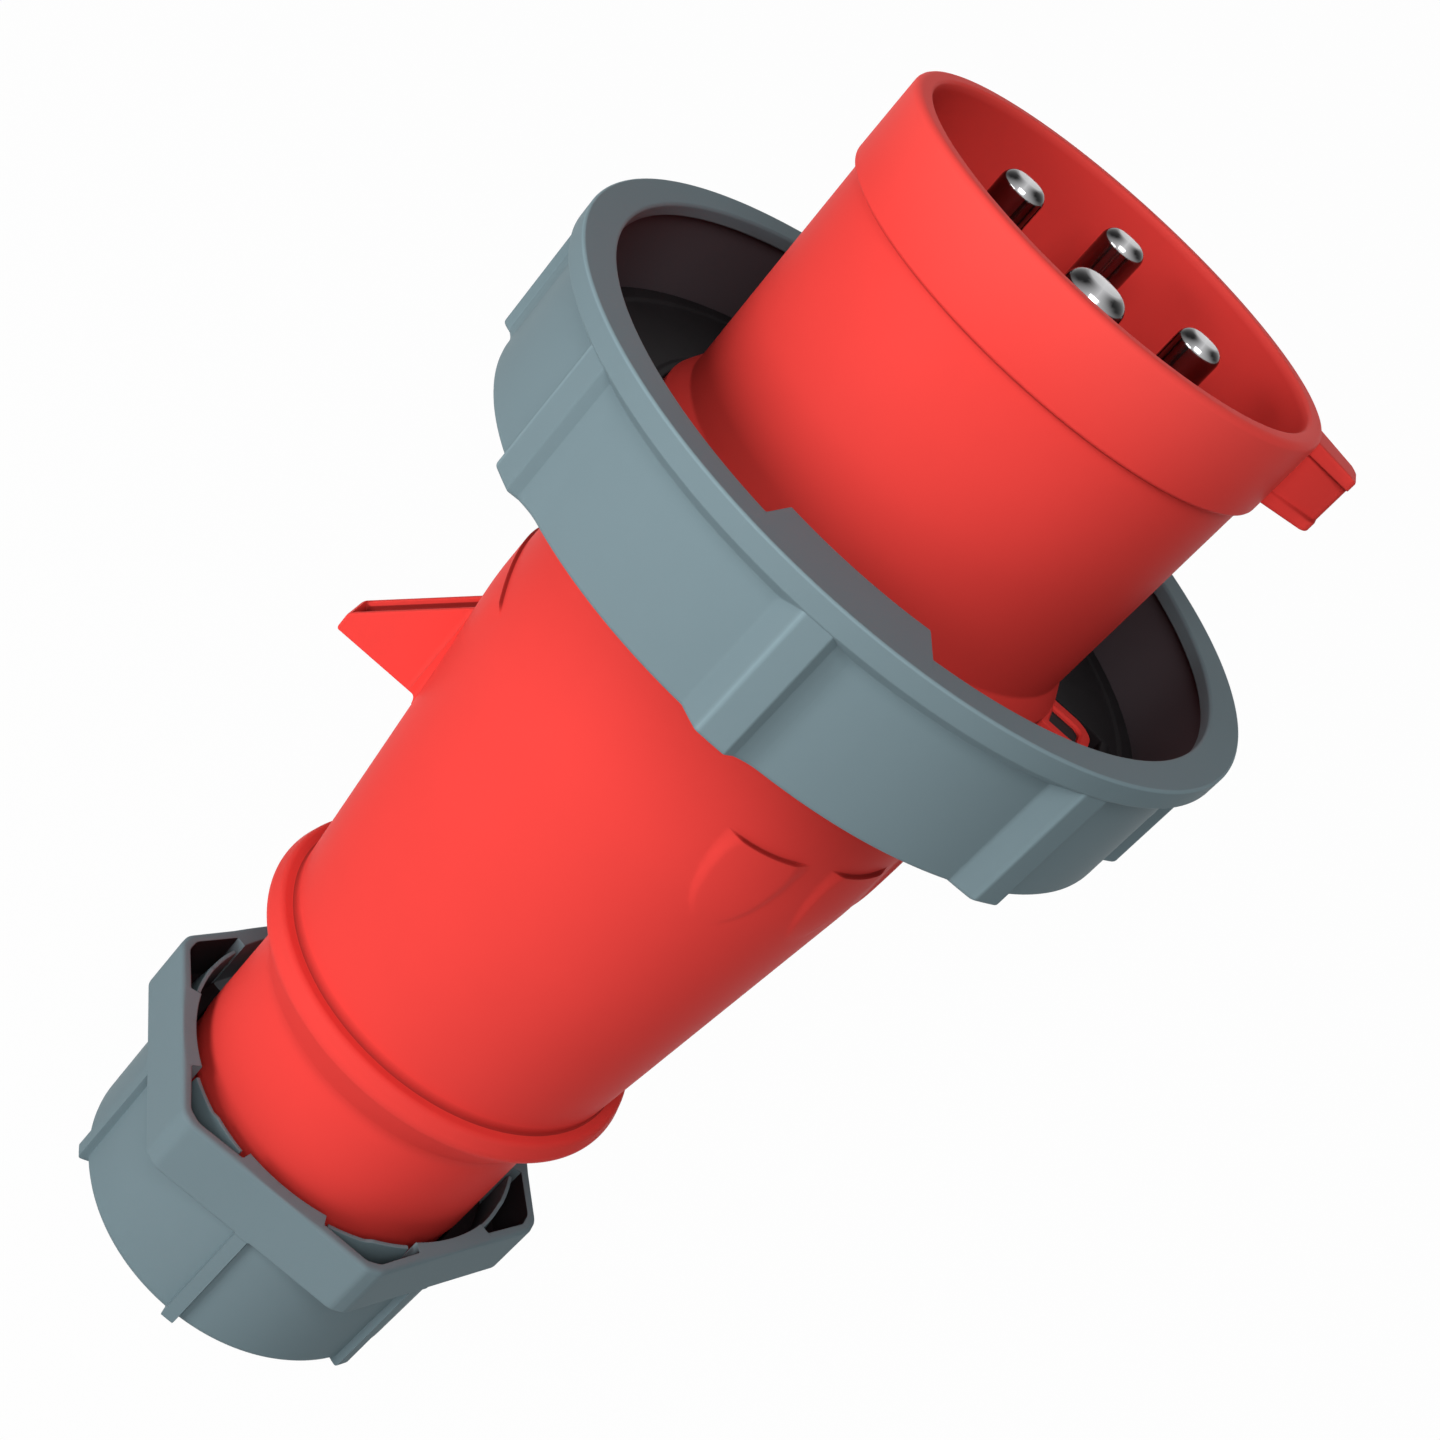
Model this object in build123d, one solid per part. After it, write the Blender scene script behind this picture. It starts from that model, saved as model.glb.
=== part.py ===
from build123d import *
import math
import os

# An industrial pin and sleeve plug, three phases and earth, watertight. +Z runs from the cable end
# up to the pins, the plug stands on its gland nut at Z = 0, and +X points at the key on the sleeve.

# Clearances
slip_gap = 0.3          # between pieces that move against each other
seat_gap = 0.1          # between a piece and the bore that it sits in
overcut = 1.0           # how far a cut runs past the surface that it opens
soft_edge = 0.4         # rounding of a plain moulded or turned edge

# Gland nut
nut_reach = 31.0        # front face above the base
nut_flats = 58.0        # width across the six flats
nut_corners = 65.6      # width across the cut corners
nut_hex_height = 10.1
nut_turn = 1.6          # how far the nut is turned at rest, degrees
nut_floor = 5.0
nut_mouth_radius = 26.7
nut_wall = 1.7
finger_thickness = 1.5
finger_angle = 27.0
pocket_angle = 31.0
pocket_depth = 8.6
finger_drop = 1.2       # how far the fingers end below the front face
finger_step = 0.4       # how much higher one half of a finger stands
cup_top_radius = 27.5
cup_base_radius = 27.3
cup_rounding = 1.5
cup_rib_radius = 28.5
cup_rib_width = 2.2
cable_hole_radius = 11.0
cable_hole_chamfer = 1.0
thread_length = 14.0
thread_lead = 2.0       # height of the cone that leads into the nut's thread

# Cable seal inside the neck
washer_thickness = 2.0
washer_margin = 1.0     # how much wider its hole is than the nut's
grommet_standout = 4.4  # how far the grommet stands out of the neck
grommet_length = 25.4
cable_radius = 8.0
cage_thickness = 3.9
cage_slots = 8
cage_slot_width = 1.6
cage_slot_share = 0.75
grommet_groove = 1.2
grommet_chamfer = 1.0

# Grip housing
neck_bore_radius = 21.5
neck_thread_wall = 2.3
neck_wall = 2.6
neck_stop_height = 3.0
neck_stop_radius = 16.5
collar_bottom = 46.4    # where its long underside leaves the neck
collar_height = 10.9
collar_crest = 2.7      # its widest ring below its top
collar_radius = 29.75
collar_top_radius = 28.9
collar_rounding = 2.0
collar_foot_rounding = 5.0
collar_top_rounding = 1.0
grip_tail_radius = 26.95
grip_belly_radius = 31.3
grip_belly = 109.0
grip_front_radius = 30.9
grip_front = 135.4
grip_wall = 3.4
belly_rounding = 60.0
cavity_rounding = 5.0
spigot_bore = 27.6
spigot_length = 16.4

# Fin opposite the key
fin_thickness = 5.5
fin_reach = 43.3
fin_back = 87.7
fin_slope_length = 12.7
fin_tip_height = 2.8
fin_groove_width = 3.9
fin_groove_depth = 1.3

# Finger pads round the front of the grip
pad_spacing = 30.0      # degrees
pad_count = 5
pad_width = 12.8
pad_front = 118.5
pad_length = 13.5
pad_height = 0.6
pad_bow = 0.5           # how far the middle of the front step lies behind its ends
pad_roundness = 1.25    # how full the sides are before they turn in to the tail
thumb_pad_width = 30.8
thumb_pad_front = 112.1
thumb_pad_height = 0.4
thumb_pad_bow = -3.9    # this step's middle lies ahead of its ends

# Coupling ring
ring_length = 21.65
ring_radius = 50.8
ring_wall = 3.6         # from its radius to its bore
ring_lip = 2.0
ring_lip_reach = 1.2    # how far the lip stands in from the bore
ring_band = 3.1
ring_edge = 1.1
ring_panel_depth = 2.4  # how far its wall lies below the band
ring_back_edge = 0.6
ring_web = 2.6
rib_drop = 0.2          # how far the ribs' tops lie below the band
rib_count = 8
rib_angle = 4.4         # width of a rib's top, degrees
rib_ramp = 2.4
rib_step = 1.2
bayonet_lug_reach = 6.0 # how far the lugs stand in from the lip
bayonet_lug_angle = 28.4
bayonet_lug_thickness = 3.0
ring_travel = 42.0      # from open to locked, degrees
stop_depth = 9.2        # from the ring's bore in to the stops
stop_width = 3.0
stop_angle = 10.0
stop_height = 1.6

# Sleeve
sleeve_reach = 56.6     # rim above the grip's front face
sleeve_bore = 28.2
sleeve_wall = 1.55
sleeve_draw = 0.4       # how much slimmer it is at its foot
sleeve_depth = 46.0
sleeve_floor = 3.0
band_step = 1.05
band_length = 11.1
rim_rounding = 0.9
rim_chamfer = 0.5
floor_rounding = 0.8
ledge_step = 1.35
ledge_height = 4.2
ledge_cove = 3.1
ledge_rounding = 1.0
journal_wall = 2.4
flange_thickness = 3.0
spigot_wall = 1.9
ear_reach = 38.0
ear_width = 8.4
ear_height = 3.0
ear_rounding = 3.0
ear_wall = 1.6
ear_pocket_depth = 2.0

# Key lug on the sleeve's rim
key_reach = 37.1
key_root_width = 6.6
key_tip_width = 4.9
key_length = 9.9
key_bar = 1.9
key_recess = 0.9
key_inset = 0.4
key_bow = 1.0           # how far its top and bottom draw in towards the tip
key_tip_rounding = 0.9

# Seals on the sleeve
gasket_thickness = 2.4
gasket_margin = 1.4     # from the ring's bore to the gasket
gasket_notch_gap = 1.8  # round the ear
pad_drop = 0.6          # how far the rubber in the ear's pocket lies below its rim
seal_inset = 0.7
seal_width = 1.3
seal_depth = 1.3

# Contacts and their carrier
contact_circle = 13.5
phase_radius = 3.0
earth_radius = 4.0
tip_inset = 1.0
tip_rounding = 1.6
shank_margin = 0.4      # how much thicker a contact is inside the carrier and the floor
barrel_margin = 1.8
barrel_length = 35.0
wire_hole_margin = 1.9
wire_hole_depth = 16.0
tower_wall = 1.6
tower_setback = 2.0     # how far the barrels stand out of their towers
carrier_thickness = 6.7
barrel_cover = 1.7
terminal_screw_radius = 2.45
terminal_screw_length = 6.4
terminal_screw_bite = 1.0
terminal_screw_height = 8.0
screw_slot = 0.9
carrier_screw_radius = 1.5
carrier_screw_circle = 19.5
carrier_screw_head = 2.9
carrier_screw_head_height = 2.2
carrier_screw_bite = 2.2
carrier_screw_angles = (45.0, 225.0)

# Radii that follow
neck_radius = neck_bore_radius + neck_wall
thread_radius = neck_bore_radius + neck_thread_wall
nut_thread_radius = thread_radius + slip_gap
ring_bore = ring_radius - ring_wall
ring_lip_radius = ring_bore - ring_lip_reach
ring_panel_radius = ring_radius - ring_panel_depth
rib_radius = ring_radius - rib_drop
bayonet_lug_radius = ring_lip_radius - bayonet_lug_reach
stop_circle = ring_bore - stop_depth
sleeve_radius = sleeve_bore + sleeve_wall
sleeve_foot_radius = sleeve_radius - sleeve_draw
band_radius = sleeve_radius + band_step
ledge_radius = sleeve_radius + ledge_step
journal_radius = spigot_bore + journal_wall
gasket_outer_radius = ring_bore - gasket_margin
seal_inner_radius = spigot_bore + seal_inset

# Heights that follow
plug_height = grip_front + sleeve_reach
washer_bottom = nut_floor + slip_gap
grommet_bottom = washer_bottom + washer_thickness + slip_gap
neck_end = grommet_bottom + grommet_standout
grommet_top = grommet_bottom + grommet_length
collar_top = collar_bottom + collar_height
ring_back = grip_front + slip_gap
ring_front = ring_back + ring_length
flange_bottom = ring_back + ring_web + slip_gap
flange_top = flange_bottom + flange_thickness
sleeve_floor_top = plug_height - sleeve_depth
carrier_top = sleeve_floor_top - sleeve_floor
carrier_bottom = carrier_top - carrier_thickness
barrel_top = carrier_top - barrel_cover
barrel_bottom = barrel_top - barrel_length
carrier_radius = spigot_bore - seat_gap - spigot_wall - seat_gap


def turned(*corners):
    """A body of revolution about Z. Each corner is (radius, height) or (radius, height, rounding)."""
    points = [(corner[0], corner[1]) for corner in corners]
    roundings = [corner[2] if len(corner) > 2 else 0 for corner in corners]
    outline = Plane.XZ * FilletPolyline(*points, radius=roundings, close=True)
    return revolve(make_face(outline), Axis.Z)


def disc(radius, bottom, top):
    """A plain cylinder about Z between two heights."""
    return Pos(0, 0, bottom) * extrude(Circle(radius), top - bottom)


def tube(outer, inner, bottom, top):
    """A plain tube about Z between two heights."""
    return disc(outer, bottom, top) - disc(inner, bottom, top)


def wedge(angle, radius, bottom, top, centre=0.0):
    """A slice of a tall disc that spans an angle about Z, centred on a direction."""
    half = math.radians(angle / 2)
    reach = radius / math.cos(half)
    corners = [(0, 0), (reach * math.cos(half), -reach * math.sin(half)),
               (reach * math.cos(half), reach * math.sin(half))]
    slice_face = make_face(Polyline(*corners, close=True))
    return Rot(0, 0, centre) * Pos(0, 0, bottom) * extrude(slice_face, top - bottom)


def at_angles(shape, angles):
    """Copies of a shape turned about Z."""
    return [Rot(0, 0, angle) * shape for angle in angles]


# Contacts and carrier


def contact_angles():
    """The earth pin is a quarter turn from the key, and the three phases take the other quarters."""
    return {"earth": -90.0, "phase_1": 0.0, "phase_2": 90.0, "phase_3": 180.0}


def contact_radius(name):
    return earth_radius if name == "earth" else phase_radius


def contact_pin(radius):
    """A turned contact: rounded tip, shaft, and a thicker barrel with a wire hole and a screw hole."""
    tip = plug_height - tip_inset
    barrel = radius + barrel_margin
    shank = radius + shank_margin
    body = turned((0, barrel_bottom), (barrel, barrel_bottom, soft_edge), (barrel, barrel_top, soft_edge),
                  (shank, barrel_top), (shank, sleeve_floor_top), (radius, sleeve_floor_top),
                  (radius, tip, tip_rounding), (0, tip))
    wire_hole = disc(barrel - wire_hole_margin, barrel_bottom, barrel_bottom + wire_hole_depth)
    screw_hole = side_cylinder(terminal_screw_radius + seat_gap / 2, 0, barrel + overcut)
    return Pos(contact_circle, 0, 0) * (body - wire_hole - screw_hole)


def side_cylinder(radius, start, end):
    """A cylinder along +X at the height of the terminal screws."""
    height = barrel_bottom + terminal_screw_height
    return Pos(start, 0, height) * Rot(0, 90, 0) * extrude(Circle(radius), end - start)


def terminal_screw(radius):
    """A slotted screw in the side of a contact's barrel, its tip in the wire hole."""
    start = radius + barrel_margin - wire_hole_margin - terminal_screw_bite
    end = start + terminal_screw_length
    body = side_cylinder(terminal_screw_radius, start, end)
    height = barrel_bottom + terminal_screw_height
    slot = Pos(end, 0, height) * Box(2 * screw_slot, screw_slot, 4 * terminal_screw_radius)
    return Pos(contact_circle, 0, 0) * (body - slot)


def carrier_screw_places():
    return [Rot(0, 0, angle) * Pos(carrier_screw_circle, 0, 0) for angle in carrier_screw_angles]


def pin_carrier():
    """The insulating disc behind the sleeve's floor, with a tower round each contact's barrel."""
    body = disc(carrier_radius, carrier_bottom, carrier_top)
    towers = []
    holes = []
    for name, angle in contact_angles().items():
        radius = contact_radius(name)
        barrel = radius + barrel_margin + seat_gap
        place = Rot(0, 0, angle) * Pos(contact_circle, 0, 0)
        towers.append(place * disc(barrel + tower_wall, barrel_bottom + tower_setback,
                                   carrier_bottom + overcut))
        holes.append(place * disc(barrel, barrel_bottom - overcut, barrel_top))
        shank = radius + shank_margin + seat_gap
        holes.append(place * disc(shank, barrel_top - overcut, carrier_top + overcut))
        side_hole = side_cylinder(terminal_screw_radius + 2 * seat_gap, 0,
                                  barrel + tower_wall + overcut)
        holes.append(place * side_hole)
    body = body + towers - holes
    screw_hole = disc(carrier_screw_radius + seat_gap, carrier_bottom - overcut, carrier_top + overcut)
    return body - [place * screw_hole for place in carrier_screw_places()]


def carrier_screws():
    """Two screws that hold the carrier to the sleeve's floor from behind."""
    head_bottom = carrier_bottom - carrier_screw_head_height
    shaft_top = carrier_top + carrier_screw_bite
    screw = turned((0, head_bottom), (carrier_screw_head, head_bottom, soft_edge),
                   (carrier_screw_head, carrier_bottom), (carrier_screw_radius, carrier_bottom),
                   (carrier_screw_radius, shaft_top), (0, shaft_top))
    slot = Pos(0, 0, head_bottom) * Box(4 * carrier_screw_head, screw_slot, 2 * screw_slot)
    return [place * (screw - slot) for place in carrier_screw_places()]


# Sleeve


def key_lug():
    """The key on the rim: a tapered block with a recess in each side that leaves a bar at each end."""
    root = sleeve_bore + (band_radius - sleeve_bore) / 2
    half_root = key_root_width / 2
    half_tip = key_tip_width / 2
    section = FilletPolyline((root, -half_root), (key_reach, -half_tip), (key_reach, half_tip),
                             (root, half_root), radius=[0, key_tip_rounding, key_tip_rounding, 0], close=True)
    bottom = plug_height - key_inset - key_length
    top = bottom + key_length
    side_view = make_face([
        Line((0, bottom), (band_radius, bottom)),
        ThreePointArc((band_radius, bottom), ((band_radius + key_reach) / 2, bottom + key_bow / 4),
                      (key_reach, bottom + key_bow)),
        Line((key_reach, bottom + key_bow), (key_reach, top - key_bow)),
        ThreePointArc((key_reach, top - key_bow), ((band_radius + key_reach) / 2, top - key_bow / 4),
                      (band_radius, top)),
        Polyline((band_radius, top), (0, top), (0, bottom))])
    block = Pos(0, 0, bottom) * extrude(make_face(section), key_length)
    block = block & extrude(Plane.XZ * side_view, key_root_width, both=True)
    recess_length = key_length - 2 * key_bar
    side = Box(key_reach, key_recess, recess_length, align=(Align.MIN, Align.MIN, Align.MIN))
    taper = math.degrees(math.atan2(half_root - half_tip, key_reach - root))
    start = band_radius + soft_edge
    lean = half_root - (start - root) * math.tan(math.radians(taper))
    recess = Pos(start, lean - key_recess, bottom + key_bar) * Rot(0, 0, -taper) * side
    return block - recess - mirror(recess, Plane.XZ)


def ear_outline(margin):
    """The ear's outline in plan, drawn in by a margin, as a face."""
    half = ear_width / 2 - margin
    reach = ear_reach - margin
    rounding = ear_rounding - margin
    return make_face(FilletPolyline((0, -half), (reach, -half), (reach, half), (0, half),
                                    radius=[0, rounding, rounding, 0], close=True))


def base_ear():
    """The ear at the sleeve's foot, in line with the key, with a pocket in its top."""
    ear = Pos(0, 0, flange_top) * extrude(ear_outline(0), ear_height)
    top = flange_top + ear_height
    pocket = Pos(0, 0, top - ear_pocket_depth) * extrude(ear_outline(ear_wall), ear_pocket_depth + overcut)
    return ear - (pocket - disc(ledge_radius + ear_wall / 2, flange_top, top + overcut))


def pocket_seal():
    """The rubber in the ear's pocket."""
    top = flange_top + ear_height
    floor = top - ear_pocket_depth
    core = Pos(0, 0, floor) * extrude(ear_outline(ear_wall + seat_gap), ear_pocket_depth - pad_drop)
    return core - disc(ledge_radius + ear_wall / 2 + seat_gap, flange_top, top)


def sleeve_housing():
    """The sleeve round the pins, its band and key, its floor, its flange, and a spigot into the grip."""
    spigot_outer = spigot_bore - seat_gap
    spigot_inner = spigot_outer - spigot_wall
    spigot_end = grip_front - spigot_length
    ledge_top = flange_top + ledge_height
    flange_radius = ring_bore - 2 * slip_gap
    shell = turned(
        (0, spigot_end), (spigot_outer, spigot_end, soft_edge), (spigot_outer, grip_front),
        (journal_radius, grip_front), (journal_radius, flange_bottom),
        (flange_radius, flange_bottom, soft_edge), (flange_radius, flange_top, soft_edge),
        (ledge_radius, flange_top), (ledge_radius, ledge_top, ledge_rounding),
        (sleeve_foot_radius, ledge_top + ledge_cove, ledge_rounding),
        (sleeve_radius, plug_height - band_length), (band_radius, plug_height - band_length, soft_edge),
        (band_radius, plug_height, rim_rounding), (0, plug_height))
    shell = shell + key_lug() + base_ear() + ring_stops(0)
    mouth = turned((0, sleeve_floor_top), (sleeve_bore, sleeve_floor_top, floor_rounding),
                   (sleeve_bore, plug_height - rim_chamfer), (sleeve_bore + rim_chamfer, plug_height),
                   (sleeve_bore + rim_chamfer, plug_height + overcut), (0, plug_height + overcut))
    back = disc(spigot_inner, spigot_end - overcut, carrier_top)
    shell = shell - mouth - back
    for name, angle in contact_angles().items():
        shank = contact_radius(name) + shank_margin + seat_gap
        hole = disc(shank, carrier_top - overcut, sleeve_floor_top + overcut)
        shell = shell - Rot(0, 0, angle) * Pos(contact_circle, 0, 0) * hole
    pilot = disc(carrier_screw_radius + seat_gap / 2, carrier_top - overcut,
                 carrier_top + carrier_screw_bite)
    return shell - [place * pilot for place in carrier_screw_places()]


def face_gasket():
    """The flat rubber seal that lies on the flange, cut out round the ear."""
    ring = tube(gasket_outer_radius, ledge_radius + seat_gap, flange_top, flange_top + gasket_thickness)
    notch = Pos(0, 0, flange_top) * extrude(ear_outline(-gasket_notch_gap), gasket_thickness)
    return ring - notch


def housing_seal():
    """The seal pressed between the sleeve's shoulder and the grip's front face."""
    return tube(seal_inner_radius + seal_width, seal_inner_radius, grip_front - seal_depth, grip_front)


# Coupling ring


def ring_rib(angle):
    """One grip rib: a soft ramp on one side, a flat top and a steep step on the other."""
    def on_circle(radius, degrees):
        return (radius * math.cos(math.radians(degrees)), radius * math.sin(math.radians(degrees)))
    inner = ring_panel_radius - overcut
    half = rib_angle / 2
    section = make_face(Polyline(
        on_circle(inner, -half - rib_ramp), on_circle(ring_panel_radius, -half - rib_ramp),
        on_circle(rib_radius, -half), on_circle(rib_radius, 0), on_circle(rib_radius, half),
        on_circle(ring_panel_radius, half + rib_step), on_circle(inner, half + rib_step), close=True))
    height = ring_length - ring_band
    rib = Pos(0, 0, ring_back) * extrude(section, height)
    return Rot(0, 0, angle) * rib


def coupling_ring():
    """The bayonet ring: front lip with two lugs, ribbed wall, and a web that turns on the journal."""
    band_back = ring_front - ring_band
    shell = turned(
        (journal_radius + slip_gap, ring_back), (ring_panel_radius, ring_back, ring_back_edge),
        (ring_panel_radius, band_back), (ring_radius, band_back, soft_edge),
        (ring_radius, ring_front, ring_edge), (ring_lip_radius, ring_front, soft_edge),
        (ring_lip_radius, ring_front - ring_lip), (ring_bore, ring_front - ring_lip),
        (ring_bore, ring_back + ring_web, soft_edge), (journal_radius + slip_gap, ring_back + ring_web))
    ribs = [ring_rib(360 / rib_count * place) for place in range(rib_count)]
    lug_bottom = ring_front - bayonet_lug_thickness
    lug_block = tube(ring_bore + soft_edge, bayonet_lug_radius, lug_bottom, ring_front)
    lugs = [lug_block & wedge(bayonet_lug_angle, 2 * ring_radius, 0, plug_height, side)
            for side in (-90.0, 90.0)]
    return shell + ribs + lugs - ring_stops(slip_gap)


def ring_stops(gap):
    """The two stops under the flange, or with a gap, the slots in the ring's web that they run in."""
    free_angle = math.degrees(gap / stop_circle)
    travel = ring_travel if gap else 0
    top = flange_bottom + (soft_edge if not gap else 0)
    track = tube(stop_circle + stop_width / 2 + gap, stop_circle - stop_width / 2 - gap,
                 flange_bottom - stop_height - gap, top)
    span = wedge(stop_angle + travel + 2 * free_angle, ring_radius, 0, plug_height, -travel / 2)
    return [track & Rot(0, 0, side) * span for side in (0.0, 180.0)]


# Grip housing


def grip_outer_radius(height):
    """Radius of the plain grip surface at a height."""
    if height > grip_belly:
        share = (height - grip_belly) / (grip_front - grip_belly)
        return grip_belly_radius + share * (grip_front_radius - grip_belly_radius)
    share = (height - collar_top) / (grip_belly - collar_top)
    return grip_tail_radius + share * (grip_belly_radius - grip_tail_radius)


def finger_pad(width, front, height, bow):
    """A thumbnail-shaped pad: a raised step in front that fades into the grip towards its round tail."""
    tail = front - pad_length
    half = width / 2
    full = pad_roundness * math.pi / 2
    outline = make_face([
        ThreePointArc((-half, front), (0, front - bow), (half, front)),
        Spline((half, front), (0, tail), tangents=((0, -1), (-1, 0)),
               tangent_scalars=(full * pad_length, full * half)),
        Spline((0, tail), (-half, front), tangents=((-1, 0), (0, 1)),
               tangent_scalars=(full * half, full * pad_length))])
    prism = extrude(Plane.YZ * outline, 2 * grip_belly_radius)
    crown = max(front, front - bow) + overcut
    ramp = turned((grip_outer_radius(front) - grip_wall / 2, crown),
                  (grip_outer_radius(crown) + height, crown),
                  (grip_outer_radius(tail) - seat_gap, tail), (grip_outer_radius(tail) - grip_wall / 2, tail))
    return prism & ramp


def fin():
    """The fin opposite the key: a slope with a groove along it and a square back."""
    root = grip_outer_radius(fin_back) - grip_wall / 2
    slope_top = fin_back + fin_tip_height
    slope_start = slope_top + fin_slope_length
    rise = fin_slope_length / (fin_reach - grip_outer_radius(slope_start))
    outline = make_face(Polyline((root, fin_back), (fin_reach, fin_back), (fin_reach, slope_top),
                                 (root, slope_top + rise * (fin_reach - root)), close=True))
    plate = extrude(Plane.XZ * outline, fin_thickness / 2, both=True)
    slope = math.degrees(math.atan(rise))
    groove = Pos(fin_reach, 0, slope_top) * Rot(0, slope, 0) * Box(
        4 * fin_slope_length, fin_groove_width, 2 * fin_groove_depth)
    beyond = disc(grip_outer_radius(slope_start), fin_back, slope_start + fin_tip_height)
    return Rot(0, 0, 180) * (plate - (groove - beyond))


def grip_cavity():
    """The hollow of the grip: spigot bore, taper, stop ledge and neck bore."""
    stop_bottom = grommet_top + seat_gap
    stop_top = stop_bottom + neck_stop_height
    tail_bore = grip_outer_radius(collar_top) - grip_wall
    return turned((0, neck_end - overcut), (neck_bore_radius, neck_end - overcut),
                  (neck_bore_radius, stop_bottom),
                  (neck_stop_radius, stop_bottom), (neck_stop_radius, stop_top),
                  (neck_bore_radius, stop_top + neck_stop_height),
                  (tail_bore, collar_top, cavity_rounding),
                  (spigot_bore, grip_belly - pad_length, cavity_rounding),
                  (spigot_bore, grip_front + overcut), (0, grip_front + overcut))


def grip_housing():
    """The tapered grip with its collar, neck, thread stub, finger pads and fin."""
    thread_top = neck_end + thread_length
    shell = turned(
        (0, neck_end), (thread_radius, neck_end, soft_edge), (thread_radius, thread_top),
        (neck_radius, thread_top), (neck_radius, collar_bottom, collar_foot_rounding),
        (collar_radius, collar_top - collar_crest, collar_rounding),
        (collar_top_radius, collar_top, collar_top_rounding), (grip_tail_radius, collar_top, soft_edge),
        (grip_belly_radius, grip_belly, belly_rounding), (grip_front_radius, grip_front, soft_edge),
        (0, grip_front))
    pads = at_angles(finger_pad(pad_width, pad_front, pad_height, pad_bow),
                     [pad_spacing * (place - (pad_count - 1) / 2) for place in range(pad_count)])
    thumb_pad = Rot(0, 0, 180) * finger_pad(thumb_pad_width, thumb_pad_front, thumb_pad_height, thumb_pad_bow)
    shell = shell + pads + thumb_pad + fin() - grip_cavity()
    return shell - housing_seal()


# Cable seal and gland nut


def clamp_cage():
    """The slotted collet that closes on the grommet."""
    inner = neck_bore_radius - seat_gap - cage_thickness
    cage = tube(neck_bore_radius - seat_gap, inner, grommet_bottom, grommet_top)
    slot_height = cage_slot_share * grommet_length
    slot = Pos(inner - overcut, 0, grommet_bottom) * Box(
        2 * cage_thickness, cage_slot_width, 2 * slot_height, align=(Align.MIN, Align.CENTER, Align.CENTER))
    return cage - at_angles(slot, [360 / cage_slots * place for place in range(cage_slots)])


def cable_grommet():
    """The rubber bush that seals on the cable, with two grooves round its bore."""
    outer = neck_bore_radius - 2 * seat_gap - cage_thickness
    groove = grommet_length / 3
    return turned(
        (cable_radius + grommet_chamfer, grommet_bottom), (outer, grommet_bottom), (outer, grommet_top),
        (cable_radius + grommet_chamfer, grommet_top), (cable_radius, grommet_top - grommet_chamfer),
        (cable_radius, grommet_bottom + 2 * groove + grommet_groove),
        (cable_radius + grommet_groove, grommet_bottom + 2 * groove),
        (cable_radius, grommet_bottom + 2 * groove - grommet_groove),
        (cable_radius, grommet_bottom + groove + grommet_groove),
        (cable_radius + grommet_groove, grommet_bottom + groove),
        (cable_radius, grommet_bottom + groove - grommet_groove),
        (cable_radius, grommet_bottom + grommet_chamfer))


def thrust_washer():
    """The flat ring that the nut pushes against the cage."""
    return tube(neck_bore_radius - seat_gap, cable_hole_radius + washer_margin, washer_bottom,
                washer_bottom + washer_thickness)


def hex_prism(flats, corners, bottom, top):
    """A hexagonal prism with its six corners cut flat."""
    hexagon = RegularPolygon(flats / 2, 6, major_radius=False)
    cut = Rot(0, 0, 30) * RegularPolygon(corners / 2, 6, major_radius=False)
    return Pos(0, 0, bottom) * extrude(hexagon & cut, top - bottom)


def flat_angles():
    return [30.0 + 60.0 * side for side in range(6)]


def corner_angles():
    return [60.0 * side for side in range(6)]


def nut_pocket():
    """The open pocket inside one corner, beside the finger that stands in it."""
    floor = nut_reach - pocket_depth
    hollow = hex_prism(nut_flats - 2 * nut_wall, nut_corners - 2 * nut_wall, floor,
                       nut_reach + overcut)
    hollow = hollow - disc(nut_mouth_radius, floor, nut_reach + overcut)
    hollow = hollow & wedge(pocket_angle, nut_flats, floor, nut_reach + overcut)
    outer = nut_mouth_radius + finger_thickness
    top = nut_reach - finger_drop
    finger = tube(outer, nut_mouth_radius, floor, top) & wedge(finger_angle, nut_flats, floor, nut_reach)
    raised = wedge(finger_angle / 2, nut_flats, floor, nut_reach, finger_angle / 4)
    finger = finger + (tube(outer, nut_mouth_radius, top - overcut, top + finger_step) & raised)
    return hollow - finger


def gland_nut():
    """The gland nut: a hexagonal collar with pockets and fingers, and a ribbed cup behind it."""
    hex_bottom = nut_reach - nut_hex_height
    cup = turned((0, 0), (cup_base_radius, 0, cup_rounding), (cup_top_radius, hex_bottom + overcut),
                 (0, hex_bottom + overcut))
    rib_root = cup_base_radius - nut_wall
    rib = Pos(rib_root, 0, 0) * Box(cup_rib_radius - rib_root, cup_rib_width, hex_bottom + overcut,
                                    align=(Align.MIN, Align.CENTER, Align.MIN))
    collar = hex_prism(nut_flats, nut_corners, hex_bottom, nut_reach)
    body = collar + cup + at_angles(rib, flat_angles())
    bore_floor = grommet_bottom + overcut
    hollow = turned((0, -overcut), (cable_hole_radius + 2 * cable_hole_chamfer, -overcut),
                    (cable_hole_radius, cable_hole_chamfer),
                    (cable_hole_radius, nut_floor), (neck_bore_radius + slip_gap, nut_floor),
                    (neck_bore_radius + slip_gap, bore_floor), (nut_thread_radius, bore_floor + thread_lead),
                    (nut_thread_radius, nut_reach - pocket_depth),
                    (nut_mouth_radius, nut_reach - pocket_depth), (nut_mouth_radius, nut_reach + overcut),
                    (0, nut_reach + overcut))
    body = body - hollow - at_angles(nut_pocket(), corner_angles())
    return Rot(0, 0, nut_turn) * body


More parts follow.
